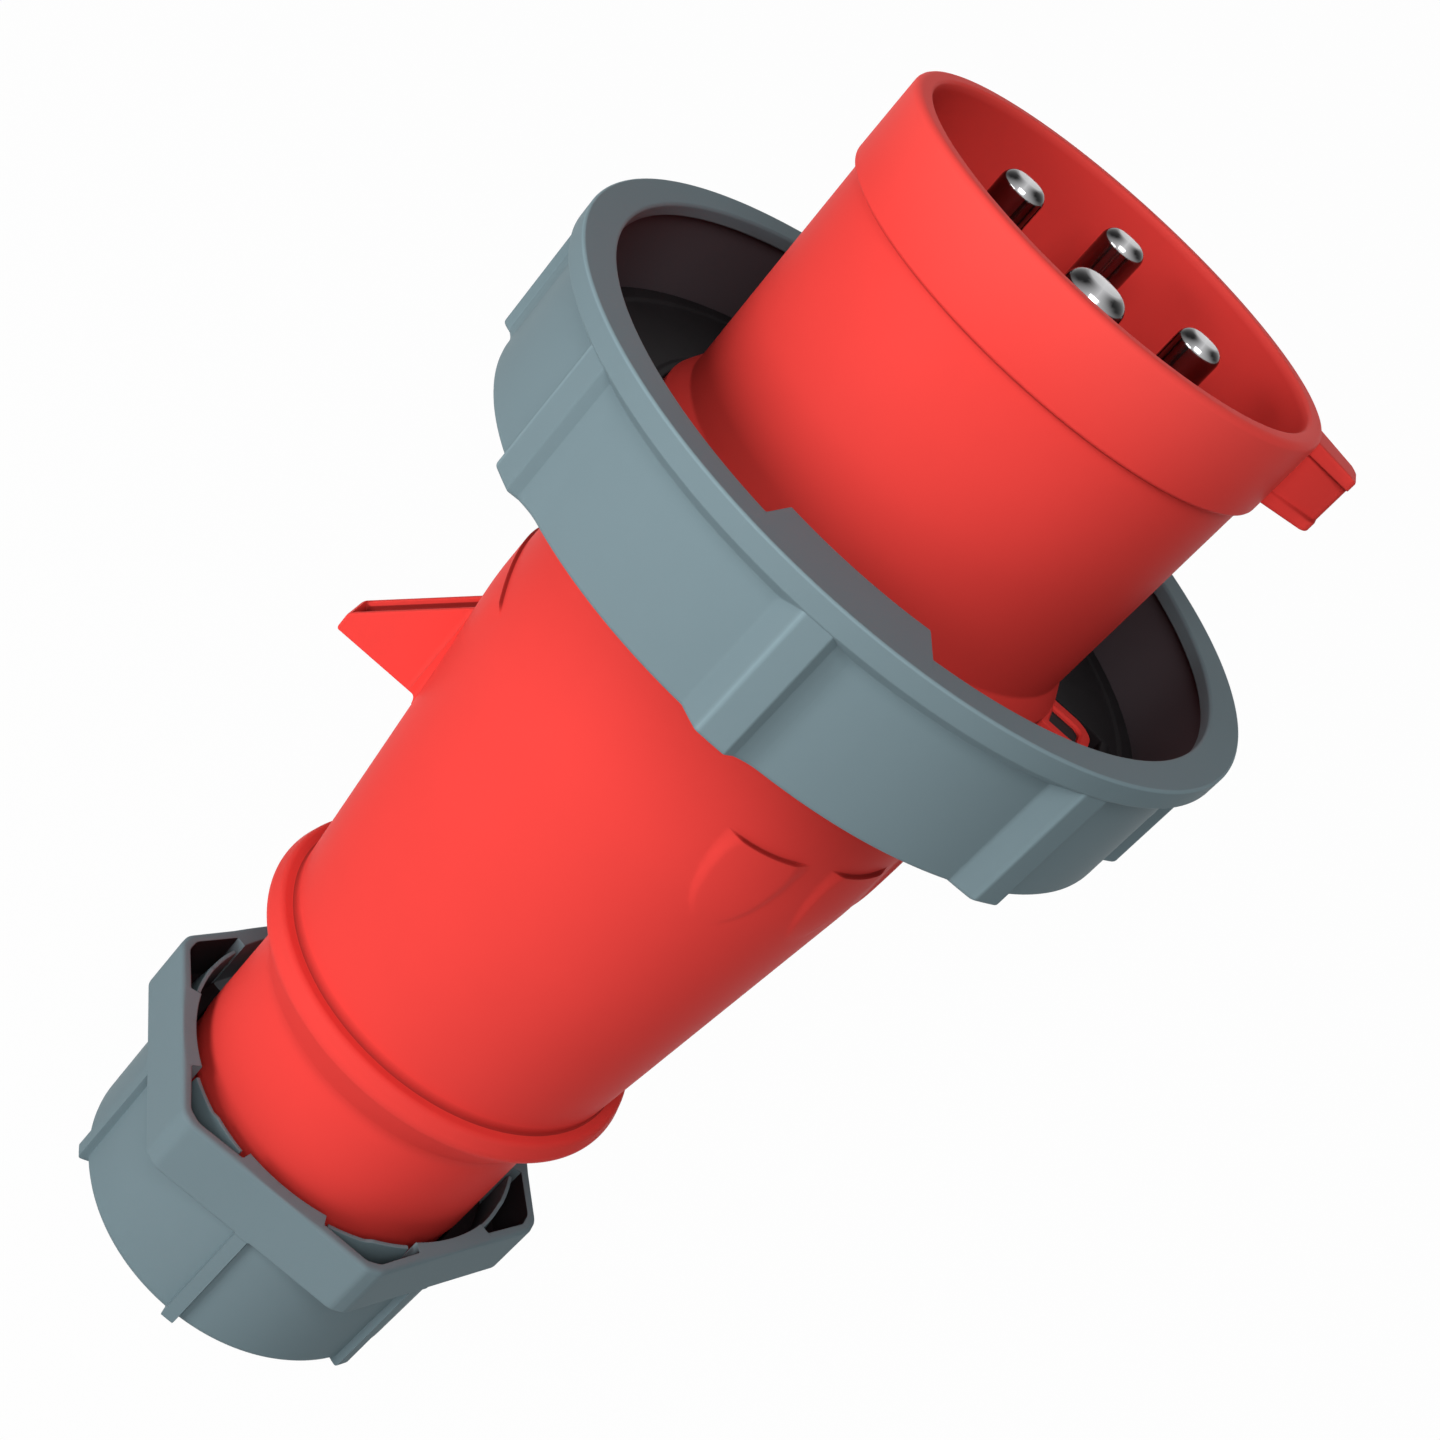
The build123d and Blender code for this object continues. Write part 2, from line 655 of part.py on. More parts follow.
def pieces():
    """Every piece of the plug by its name."""
    made = {
        "sleeve_housing": sleeve_housing(),
        "grip_housing": grip_housing(),
        "coupling_ring": coupling_ring(),
        "face_gasket": face_gasket(),
        "housing_seal": housing_seal(),
        "pocket_seal": pocket_seal(),
        "pin_carrier": pin_carrier(),
        "clamp_cage": clamp_cage(),
        "cable_grommet": cable_grommet(),
        "thrust_washer": thrust_washer(),
        "gland_nut": gland_nut(),
    }
    for name, angle in contact_angles().items():
        radius = contact_radius(name)
        made[name + "_pin"] = Rot(0, 0, angle) * contact_pin(radius)
        made[name + "_screw"] = Rot(0, 0, angle) * terminal_screw(radius)
    for number, screw in enumerate(carrier_screws(), start=1):
        made["carrier_screw_" + str(number)] = screw
    return made


os.makedirs("parts", exist_ok=True)
for name, shape in pieces().items():
    export_step(shape, "parts/" + name + ".step")
    print(name, round(shape.volume, 1))
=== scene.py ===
"""Looks of the pin and sleeve plug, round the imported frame. Each piece is a surface worked out with numpy."""

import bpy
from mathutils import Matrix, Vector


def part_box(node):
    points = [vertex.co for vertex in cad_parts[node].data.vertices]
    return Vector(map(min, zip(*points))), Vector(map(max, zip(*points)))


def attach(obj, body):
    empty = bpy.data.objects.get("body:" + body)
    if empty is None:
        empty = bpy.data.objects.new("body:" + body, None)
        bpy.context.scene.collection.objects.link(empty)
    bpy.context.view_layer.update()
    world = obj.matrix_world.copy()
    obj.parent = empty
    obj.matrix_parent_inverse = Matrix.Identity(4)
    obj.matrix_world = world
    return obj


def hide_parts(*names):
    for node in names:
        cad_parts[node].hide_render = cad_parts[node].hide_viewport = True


bl_info = {
    "name": "Pin and sleeve plug",
    "version": (1, 0, 0),
    "blender": (4, 5, 0),
    "location": "View3D > Sidebar > Plug",
    "description": "Builds the sleeve, ring, grip, gland nut, contacts and seals of an industrial plug",
    "category": "Object",
}

import math

import bmesh
import bpy
import numpy as np
from mathutils import Matrix, Vector

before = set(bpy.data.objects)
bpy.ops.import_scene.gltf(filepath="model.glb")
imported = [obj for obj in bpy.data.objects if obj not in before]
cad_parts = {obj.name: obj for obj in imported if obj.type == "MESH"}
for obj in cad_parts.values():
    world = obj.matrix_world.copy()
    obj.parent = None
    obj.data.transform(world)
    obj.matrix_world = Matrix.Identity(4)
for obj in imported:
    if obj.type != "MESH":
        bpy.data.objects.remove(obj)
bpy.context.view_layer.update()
MM = 0.001
BODY = "plug_body"
RED = (BODY, "red moulding", "red_plastic")


def low(node, axis=2):
    """Lowest coordinate of a CAD node along an axis, in metres."""
    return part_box(node)[0][axis]


def high(node, axis=2):
    """Highest coordinate of a CAD node along an axis, in metres."""
    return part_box(node)[1][axis]


# Sizes and colours


def length(label, millimetres, words):
    """A length property in metres, given in millimetres."""
    return bpy.props.FloatProperty(name=label, description=words, default=millimetres * MM,
                                   min=0.0, unit="LENGTH", precision=5)


def degrees(label, value, words):
    """An angle property, given in degrees and kept in radians."""
    return bpy.props.FloatProperty(name=label, description=words, default=math.radians(value),
                                   subtype="ANGLE")


def colour(label, value, words):
    """A linear colour property."""
    return bpy.props.FloatVectorProperty(name=label, description=words, default=value, size=3,
                                         min=0.0, max=1.0, subtype="COLOR")


class RingSizes(bpy.types.PropertyGroup):
    """Sizes of the coupling ring"""
    panel_depth: length("Panel depth", 2.4, "How far the panels lie below the front band")
    rib_drop: length("Rib drop", 0.2, "How far the ribs' tops lie below the band")
    band: length("Band", 3.1, "Height of the front band")
    edge: length("Front edge", 0.4, "Rounding of the front edge")
    underside: length("Underside", 1.6, "Height of the slope under the band")
    wall: length("Wall", 3.6, "From the outer radius to the bore")
    lip: length("Lip", 2.0, "Height of the lip in the mouth")
    lip_reach: length("Lip reach", 1.2, "How far the lip stands in from the bore")
    web: length("Web", 2.6, "Thickness of the web behind the flange")
    web_bore: length("Web bore", 30.3, "Radius of the hole that turns on the sleeve")
    lug_reach: length("Lug reach", 7.2, "How far the two lugs stand in from the bore")
    lug_height: length("Lug height", 3.0, "Thickness of the lugs")
    lug_angle: degrees("Lug angle", 28.4, "Width of a lug")
    rib_angle: degrees("Rib angle", 4.4, "Width of a rib's flat top")
    rib_ramp: degrees("Rib ramp", 3.4, "Width of a rib's soft side")
    rib_foot: degrees("Rib foot", 4.0, "Width of the hollow at the foot of its steep side")
    rib_step: degrees("Rib step", 1.2, "Width of a rib's steep side")


class SleeveSizes(bpy.types.PropertyGroup):
    """Sizes of the sleeve, its key and ear, and the gasket"""
    bore: length("Bore", 28.2, "Inner radius")
    radius: length("Radius", 29.75, "Outer radius behind the band")
    foot: length("Foot radius", 29.35, "Outer radius above the ledge")
    band: length("Band radius", 30.8, "Radius of the band round the rim")
    band_height: length("Band height", 11.1, "Height of the band")
    rim: length("Rim rounding", 0.9, "Rounding of the rim")
    depth: length("Depth", 46.0, "From the rim to the floor")
    floor: length("Floor", 3.0, "Thickness of the floor")
    ledge: length("Ledge radius", 31.1, "Radius of the ledge at the foot")
    ledge_height: length("Ledge height", 4.2, "Height of the ledge above the flange")
    cove: length("Cove", 3.1, "Height of the cove above the ledge")
    key_reach: length("Key reach", 37.1, "How far the key stands out")
    key_root: length("Key root", 6.6, "Width of the key at the band")
    key_tip: length("Key tip", 4.9, "Width of the key at its tip")
    key_height: length("Key height", 9.9, "Height of the key")
    key_bar: length("Key bar", 1.9, "Height of the bar at each end of the key")
    key_recess: length("Key recess", 0.9, "Depth of the recess between the bars")
    key_inset: length("Key inset", 0.4, "How far the key's top lies below the rim")
    ear_reach: length("Ear reach", 38.0, "How far the ear at the foot stands out")
    ear_width: length("Ear width", 8.4, "Width of the ear")
    ear_height: length("Ear height", 3.0, "Height of the ear above the flange")
    ear_rounding: length("Ear rounding", 3.0, "Rounding of the ear's corners")
    ear_wall: length("Ear wall", 1.6, "Wall of the ear's pocket on its near side")
    ear_far: length("Ear far wall", 2.3, "Wall of the ear's pocket on the side away from the earth pin")
    ear_pocket: length("Ear pocket", 2.0, "Depth of the ear's pocket")
    gasket_gap: length("Gasket gap", 1.8, "Gap between the ear and the gasket")


class GripSizes(bpy.types.PropertyGroup):
    """Sizes of the grip and its fin"""
    belly_radius: length("Belly radius", 31.3, "Radius where the grip is widest")
    belly_height: length("Belly height", 109.0, "Height of the widest place")
    front_radius: length("Front radius", 30.9, "Radius at the front face")
    tail_radius: length("Tail radius", 26.95, "Radius above the collar")
    collar_bottom: length("Collar bottom", 46.4, "Where the collar's long underside leaves the neck")
    collar_height: length("Collar height", 10.9, "Height of the collar")
    collar_radius: length("Collar radius", 29.75, "Radius of the collar's crest")
    collar_crest: length("Collar crest", 2.7, "How far the crest lies below the collar's top")
    collar_top: length("Collar top", 28.9, "Radius of the collar's top edge")
    neck: length("Neck", 24.1, "Radius of the neck between collar and nut")
    thread_radius: length("Thread radius", 23.8, "Radius of the thread stub")
    thread_height: length("Thread height", 14.0, "Height of the thread stub")
    pad_spacing: degrees("Pad spacing", 30.0, "Angle between neighbouring finger pads")
    pad_width: length("Pad width", 12.8, "Width of a finger pad in front")
    pad_length: length("Pad length", 13.5, "Length of a finger pad")
    pad_height: length("Pad height", 0.6, "Height of a finger pad's front step")
    pad_bow: length("Pad bow", 0.5, "How far the front step bows")
    pad_front: length("Pad front", 118.5, "Height of the front step")
    thumb_width: length("Thumb pad width", 30.8, "Width of the pad in front of the fin")
    thumb_front: length("Thumb pad front", 112.1, "Height of its front step's ends")
    thumb_height: length("Thumb pad height", 0.45, "Height of its front step")
    thumb_arch: length("Thumb pad arch", 3.9, "How far the middle of its front step lies ahead of its ends")
    fin_thickness: length("Fin thickness", 5.5, "Thickness of the fin")
    fin_reach: length("Fin reach", 43.3, "How far the fin stands out")
    fin_back: length("Fin back", 87.7, "Height of the fin's square back")
    fin_tip: length("Fin tip", 2.8, "Height of the fin's tip")
    fin_slope: length("Fin slope", 12.7, "Height of the slope above the tip")
    groove_width: length("Groove width", 3.9, "Width of the groove along the slope")
    groove_depth: length("Groove depth", 1.3, "Depth of the groove")


class NutSizes(bpy.types.PropertyGroup):
    """Sizes of the gland nut"""
    flats: length("Flats", 58.0, "Width across the flats")
    corners: length("Corners", 65.6, "Width across the cut corners")
    hexagon: length("Hexagon height", 10.1, "Height of the hexagon")
    turn: degrees("Turn", 1.6, "How far the nut is turned at rest")
    wall: length("Wall", 1.7, "Wall outside the pockets")
    mouth: length("Mouth", 26.7, "Radius of the mouth")
    finger: length("Finger", 1.5, "Thickness of the fingers at their root")
    finger_tip: length("Finger tip", 0.6, "Thickness of the fingers at their top")
    finger_step: length("Finger step", 0.4, "How much higher one half of a finger stands")
    finger_drop: length("Finger drop", 1.2, "How far the fingers end below the front")
    pocket_depth: length("Pocket depth", 8.6, "Depth of the pockets")
    pocket_angle: degrees("Pocket angle", 31.0, "Width of a pocket")
    finger_angle: degrees("Finger angle", 27.0, "Width of a finger")
    cup_top: length("Cup top", 27.5, "Radius of the cup below the hexagon")
    cup_base: length("Cup base", 27.3, "Radius of the cup at its base")
    rib: length("Rib radius", 28.5, "Radius that the six ribs reach")
    rib_width: length("Rib width", 2.2, "Width of a rib")
    thread: length("Thread", 24.1, "Radius of the thread")
    seat: length("Seat", 21.8, "Radius round the washer")
    hole: length("Cable hole", 11.0, "Radius of the cable hole")
    floor: length("Floor", 5.0, "Thickness of the floor")


class ContactSizes(bpy.types.PropertyGroup):
    """Sizes of the contacts"""
    earth: length("Earth contact", 4.0, "Radius of the earth contact's shaft")
    phase: length("Phase contact", 3.0, "Radius of a phase contact's shaft")


class Finishes(bpy.types.PropertyGroup):
    """Colours of the plug and its floor"""
    red: colour("Red", (0.86, 0.060, 0.051), "Moulded red plastic of the sleeve and grip")
    grey: colour("Grey", (0.178, 0.246, 0.272), "Moulded grey plastic of the ring and nut")
    # Painted shade: the colour painted over the coupling ring's bore, where shade falls
    dark: colour("Dark", (0.105, 0.088, 0.098), "Lining of the coupling ring")
    # Painted shade: the colour painted into the nut's pockets, where shade falls
    pocket: colour("Pocket", (0.022, 0.018, 0.020), "Lining of the nut's pockets")
    black: colour("Black", (0.03, 0.03, 0.032), "Moulded black plastic of the pin carrier")
    pale: colour("Pale", (0.45, 0.45, 0.42), "Moulded pale plastic of the clamp cage and the thrust washer")
    rubber: colour("Rubber", (0.012, 0.011, 0.012), "Seals")
    plate: colour("Plate", (0.52, 0.52, 0.53), "Plating of the contacts")
    zinc: colour("Zinc", (0.55, 0.56, 0.58), "Plating of the screws")
    floor: colour("Floor", (0.85, 0.85, 0.85), "Floor under the plug")


# Shapes as arrays


def ramp(value, start, end):
    """Smooth step: with t running from 0 at start to 1 at end, t squared times (3 - 2 t)."""
    share = np.clip((value - start) / (end - start), 0.0, 1.0)
    return share * share * (3.0 - 2.0 * share)


def between(value, start, end, soft):
    """1 between start and end and 0 outside, with soft edges: the product of a rising and a falling step."""
    return ramp(value, start - soft / 2, start + soft / 2) * (1 - ramp(value, end - soft / 2, end + soft / 2))


def bell(value, centre, width):
    """A soft peak of 1 at the centre: e to the power of minus the square of distance over width."""
    return np.exp(-((value - centre) / width) ** 2)


def away(angle, centre):
    """Signed angle from a centre in degrees, wrapped to run from -180 to 180."""
    return (angle - centre + 180.0) % 360.0 - 180.0


def lower_of(a, b, soft):
    """The lower of two values with the corner rounded: a polynomial smooth minimum."""
    share = np.clip(0.5 + 0.5 * (b - a) / soft, 0.0, 1.0)
    return b + (a - b) * share - soft * share * (1 - share)


def turns(count, *stretches):
    """Sorted angles in degrees: an even division of the circle, and closer lines over each stretch, which is
    (from, to, lines)."""
    lines = [np.linspace(-180.0, 180.0, count, endpoint=False)]
    lines += [away(np.linspace(start, end, number), 0.0) for start, end, number in stretches]
    return np.unique(np.round(np.concatenate(lines), 4))


def closer(centres, places, reach, lines):
    """Stretches for turns(), reach degrees to both sides of each place, which is counted from each centre."""
    return [(centre + place - reach, centre + place + reach, lines) for centre in centres for place in places]


def rounded(angles, corners, points=5):
    """Closed outlines (rows, angles, 2) through corners of (radius, height, rounding), each a number or one
    per angle.

    Each corner becomes the rational quadratic curve from one tangent point to the other whose middle weight is
    the sine of half the corner's angle, which is the arc of a circle. It takes less than half of a side."""
    straight, most = 0.9999, 0.48
    one = np.ones_like(angles)
    place = np.stack([np.stack([c[0] * one, c[1] * one], axis=-1) for c in corners])
    size = np.stack([(c[2] if len(c) > 2 else 0.0) * one for c in corners])[..., None]
    before, after = np.roll(place, 1, axis=0) - place, np.roll(place, -1, axis=0) - place
    gone = np.maximum(np.linalg.norm(before, axis=-1, keepdims=True), 1e-9)
    ahead = np.maximum(np.linalg.norm(after, axis=-1, keepdims=True), 1e-9)
    before, after = before / gone, after / ahead
    half = np.arccos(np.clip((before * after).sum(-1, keepdims=True), -straight, straight)) / 2
    reach = np.minimum(size / np.tan(half), most * np.minimum(gone, ahead))
    s = np.linspace(0.0, 1.0, points)[None, :, None, None]
    first, last, middle = (1 - s) ** 2, s ** 2, 2 * s * (1 - s) * np.sin(half)[:, None]
    start, end = (place + before * reach)[:, None], (place + after * reach)[:, None]
    curve = (first * start + middle * place[:, None] + last * end) / (first + middle + last)
    return curve.reshape(-1, len(angles), 2)


def drawn(corners, points):
    """One closed outline (rows, 2) through corners, where nothing changes with the angle."""
    return rounded(np.array([0.0]), corners, points)[:, 0]


def rows_in(outline, *spans):
    """A column of 1 in the rows of an outline that lie in a span (first, last) and 0 in the others."""
    rows = np.arange(len(outline))[:, None]
    return sum((rows >= first) & (rows <= last) for first, last in spans)


def revolved(outline, angles):
    """Points of an outline (rows, angles, 2) of radius and height, each column turned to its own angle."""
    turn = np.radians(angles)
    radius = outline[..., 0]
    return np.stack([radius * np.cos(turn), radius * np.sin(turn), outline[..., 1]], axis=-1)


def piece(name, points, body, finish, slot, wrap=(True, True), painted_light=None):
    """A mesh of the quads between neighbours of a grid of points (rows, columns, 3), closed where it wraps, its
    open ends filled. The painted light, a number per point, goes into the attribute that the finishes read:
    above zero they paint shade and reflections, below zero highlights."""
    rows, columns = points.shape[:2]
    r = np.arange(rows if wrap[0] else rows - 1)[:, None]
    c = np.arange(columns if wrap[1] else columns - 1)[None, :]
    r2, c2 = (r + 1) % rows, (c + 1) % columns
    quads = np.stack([r * columns + c, r2 * columns + c, r2 * columns + c2, r * columns + c2], axis=-1)
    mesh = bpy.data.meshes.new(name)
    mesh.from_pydata(points.reshape(-1, 3).tolist(), [], quads.reshape(-1, 4).tolist())
    if painted_light is not None:
        values = np.broadcast_to(painted_light, (rows, columns)).ravel()
        mesh.attributes.new("painted_light", "FLOAT", "POINT").data.foreach_set("value", values)
    work = bmesh.new()
    work.from_mesh(mesh)
    bmesh.ops.remove_doubles(work, verts=work.verts, dist=0.002 * MM)
    bmesh.ops.dissolve_degenerate(work, edges=work.edges, dist=0.001 * MM)
    bmesh.ops.holes_fill(work, edges=work.edges)
    bmesh.ops.recalc_face_normals(work, faces=work.faces)
    work.to_mesh(mesh)
    work.free()
    mesh.shade_smooth()
    mesh.set_sharp_from_angle(angle=math.radians(40.0))
    mesh.materials.append(bpy.data.materials[finish])
    made = bpy.data.objects.new(name, mesh)
    bpy.context.scene.collection.objects.link(made)
    level = made.modifiers.new("even shading", "WEIGHTED_NORMAL")
    level.keep_sharp = True
    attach(made, body)
    return made


# Shader maths


class Wire:
    """A shader socket. An expression on it adds Math nodes."""

    def __init__(self, finish, socket):
        self.finish, self.socket = finish, socket

    def math(self, operation, *values):
        """The result of a Math node on this socket and the values."""
        inputs = dict(enumerate((self,) + values))
        return self.finish.node("ShaderNodeMath", {"operation": operation}, inputs)

    def __add__(self, other):
        return self.math("ADD", other)

    def __mul__(self, other):
        return self.math("MULTIPLY", other)

    def __sub__(self, other):
        return self.math("SUBTRACT", other)

    def __rsub__(self, other):
        return self.math("MULTIPLY_ADD", -1.0, other)

    __radd__, __rmul__ = __add__, __mul__


class Finish:
    """The nodes of a material or a world: node() adds a node, and feed() sets or links a socket."""

    MIX_FACTOR, MIX_FIRST, MIX_SECOND, MIX_RESULT = 0, 6, 7, 2

    def __init__(self, owner, shader="Principled BSDF"):
        owner.use_nodes = True
        self.tree = owner.node_tree
        self.shader = self.tree.nodes[shader]

    def feed(self, socket, value):
        """Links a wire to a socket, or sets the socket to a value."""
        if isinstance(value, Wire):
            self.tree.links.new(value.socket, socket)
        else:
            socket.default_value = value

    def node(self, kind, settings, inputs, output=0):
        """Adds a node with its settings and then its inputs, and gives one of its outputs."""
        made = self.tree.nodes.new(kind)
        for key, value in settings.items():
            setattr(made, key, value)
        for key, value in inputs.items():
            self.feed(made.inputs[key], value)
        return Wire(self, made.outputs[output])

    def put(self, **sockets):
        """Feeds the shader's sockets, named with a low line for each space."""
        for key, value in sockets.items():
            self.feed(self.shader.inputs[key.replace("_", " ")], value)

    def place(self):
        """Object coordinates."""
        return self.node("ShaderNodeTexCoord", {}, {}, "Object")

    def painted_light(self):
        """The mesh's attribute that says where the finish paints shade, highlights and reflections."""
        return self.node("ShaderNodeAttribute", {"attribute_name": "painted_light"}, {}, "Fac")

    def noise(self, place, scale, detail):
        """Cloudy noise about 0.5."""
        return self.node("ShaderNodeTexNoise", {}, {"Vector": place, "Scale": scale, "Detail": detail})

    def mix(self, factor, first, second):
        """Colour that goes from first to second as the factor goes from 0 to 1."""
        first, second = (end if isinstance(end, Wire) else (*end, 1.0) for end in (first, second))
        ends = {self.MIX_FACTOR: factor, self.MIX_FIRST: first, self.MIX_SECOND: second}
        return self.node("ShaderNodeMix", {"data_type": "RGBA"}, ends, self.MIX_RESULT)

    def bump(self, height, strength, distance):
        """Tilts the shading by a height."""
        self.put(Normal=self.node("ShaderNodeBump", {}, {"Height": height, "Strength": strength,
                                                         "Distance": distance}))


def shade(tint, share):
    """A colour made darker or lighter by a share."""
    return tuple(min(1.0, part * share) for part in tint)


def moulded_plastic(name, tint, gloss, painted_light=(0.0, 0.0, 0.0)):
    """Moulded plastic: cloudy tone and fine spark-eroded grain. Where the mesh's attribute is above zero it
    turns to the colour of the painted shade, and below zero to a painted pale highlight."""
    finish = Finish(bpy.data.materials.new(name))
    place = finish.place()
    cloud = finish.noise(place, scale=38.0, detail=3.0)
    skin = finish.noise(place, scale=1900.0, detail=2.0)
    painted_amount = finish.painted_light()
    # The pale colour is the painted highlight on edges
    pale, spread = shade(tint, 1.7), 0.10
    tone = finish.mix(painted_amount * -1.0, finish.mix(cloud, shade(tint, 0.94), shade(tint, 1.05)), pale)
    finish.put(Base_Color=finish.mix(painted_amount, tone, painted_light), Roughness=cloud * spread + (gloss - spread / 2),
               Specular_IOR_Level=0.02)
    finish.bump(skin, strength=0.16, distance=0.02 * MM)


def rubber(name, tint):
    """Black rubber: dull, with a soft mottle in its tone, its gloss and its surface."""
    finish = Finish(bpy.data.materials.new(name))
    mottle = finish.noise(finish.place(), scale=220.0, detail=4.0)
    finish.put(Base_Color=finish.mix(mottle, shade(tint, 0.7), shade(tint, 1.6)),
               Roughness=mottle * 0.2 + 0.45, Specular_IOR_Level=0.08)
    finish.bump(mottle, strength=0.25, distance=0.05 * MM)


def plated_metal(name, tint, gloss, lathe=0.06):
    """Plated turned metal: bright, with faint rings from the lathe and a little cloud in the plating. Where the
    mesh's attribute is above zero it turns to a painted dark reflection."""
    finish = Finish(bpy.data.materials.new(name))
    place = finish.place()
    cloud = finish.noise(place, scale=130.0, detail=3.0)
    rings = finish.node("ShaderNodeTexWave", {"wave_type": "BANDS", "bands_direction": "Z"},
                        {"Vector": place, "Scale": 900.0, "Distortion": 1.5, "Detail": 2.0})
    # Near-black colour of the painted reflection
    painted_reflection = shade(tint, 0.03)
    plate = finish.mix(cloud, shade(tint, 0.92), tint)
    finish.put(Base_Color=finish.mix(finish.painted_light(), plate, painted_reflection), Metallic=1.0,
               Roughness=cloud * 0.08 + gloss)
    finish.bump(rings, strength=lathe, distance=0.01 * MM)


class PLUG_OT_finishes(bpy.types.Operator):
    """Makes every material of the plug"""
    bl_idname = "plug.finishes"
    bl_label = "Finishes"

    def execute(self, context):
        tint = context.scene.plug_finishes
        # Each red and grey moulding carries the colour of its painted shade; the nut's moulding is a copy of
        # the grey with a darker painted shade for its pockets
        moulded_plastic("red moulding", tint.red, gloss=0.46, painted_light=shade(tint.red, 0.33))
        moulded_plastic("grey moulding", tint.grey, gloss=0.48, painted_light=tint.dark)
        moulded_plastic("nut moulding", tint.grey, gloss=0.48, painted_light=tint.pocket)
        moulded_plastic("black moulding", tint.black, gloss=0.5)
        moulded_plastic("pale moulding", tint.pale, gloss=0.5)
        rubber("black rubber", tint.rubber)
        plated_metal("nickel plate", tint.plate, gloss=0.10)
        plated_metal("zinc plate", tint.zinc, gloss=0.28, lathe=0.12)
        return {"FINISHED"}


# Pieces


class PLUG_OT_ring(bpy.types.Operator):
    """Coupling ring: a closed outline carried round the axis. At the ribs its outer side stands out, and at the
    lugs its lip stands in"""
    bl_idname = "plug.ring"
    bl_label = "Coupling ring"

    def execute(self, context):
        s = context.scene.plug_ring
        back, front, radius = low("coupling_ring"), high("coupling_ring"), high("coupling_ring", 0)
        half, soft, step, foot = (math.degrees(angle) for angle in
                                  (s.rib_angle / 2, s.rib_ramp, s.rib_step, s.rib_foot))
        ribs, lugs, lug_half = 8, (-90.0, 90.0), math.degrees(s.lug_angle / 2)
        stretches, over, near = closer(lugs, (-lug_half, lug_half), reach=0.25, lines=6), 0.5, 0.3
        for centre in (360.0 / ribs * place for place in range(ribs)):
            stretches += [(centre - half - soft - over, centre - half + over, 16),
                          (centre + half - near, centre + half + step + near, 12),
                          (centre + half + step, centre + half + step + foot, 10)]
        angles = turns(240, *stretches)
        turn = away(angles * ribs, 0.0) / ribs
        # The steep side falls by a share of the rib's height, and the hollow at its foot by the rest
        sheer, dip, easing = 0.55, 0.45, 0.10
        rise = (turn + half + soft) / soft
        fall = 1 - sheer * np.clip((turn - half) / step, 0.0, 1.0)
        hollow = np.clip((turn - half - step) / foot, 0.0, 1.0)
        fall = fall - 2 * dip * hollow + dip * hollow ** 2
        rib = np.clip(lower_of(lower_of(rise, 1.0, easing), fall, easing), 0.0, 1.0)
        lug = sum(between(away(angles, side), -lug_half, lug_half, soft=0.4) for side in lugs)
        bore, band_back, web_front = radius - s.wall, front - s.band, back + s.web
        side = radius - s.panel_depth + rib * (s.panel_depth - s.rib_drop)
        under = band_back - (1 - rib) * s.underside
        lip = bore - s.lip_reach - lug * (s.lug_reach - s.lip_reach)
        lip_back = front - s.lip - lug * (s.lug_height - s.lip)
        outline = rounded(angles, [
            (s.web_bore, back, 0.4 * MM), (side, back, 0.6 * MM), (side, under, (1 - rib) * 0.5 * MM),
            (radius, band_back + 0.2 * MM, 0.35 * MM), (radius, front, s.edge), (lip, front, 0.45 * MM),
            (lip, lip_back, 0.3 * MM), (bore, lip_back, 0.3 * MM), (bore, web_front, 0.8 * MM),
            (s.web_bore, web_front, 0.4 * MM)])
        # Painted light: painted shade over the bore from behind the lip to the web, a painted highlight along
        # the front edge's rounding, and a painted highlight on the outer side along the top edge of each rib's
        # soft side
        inside, edge, outside = (rows_in(outline, span) for span in ((35, 49), (21, 23), (7, 14)))
        pale, crest = 0.45, bell(turn, -half, 0.32)
        made = piece("ring", revolved(outline, angles), "bayonet_ring", "grey moulding", "grey_plastic",
                     painted_light=inside - pale * edge - pale * crest * outside)
        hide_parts("coupling_ring")
        return {"FINISHED"}


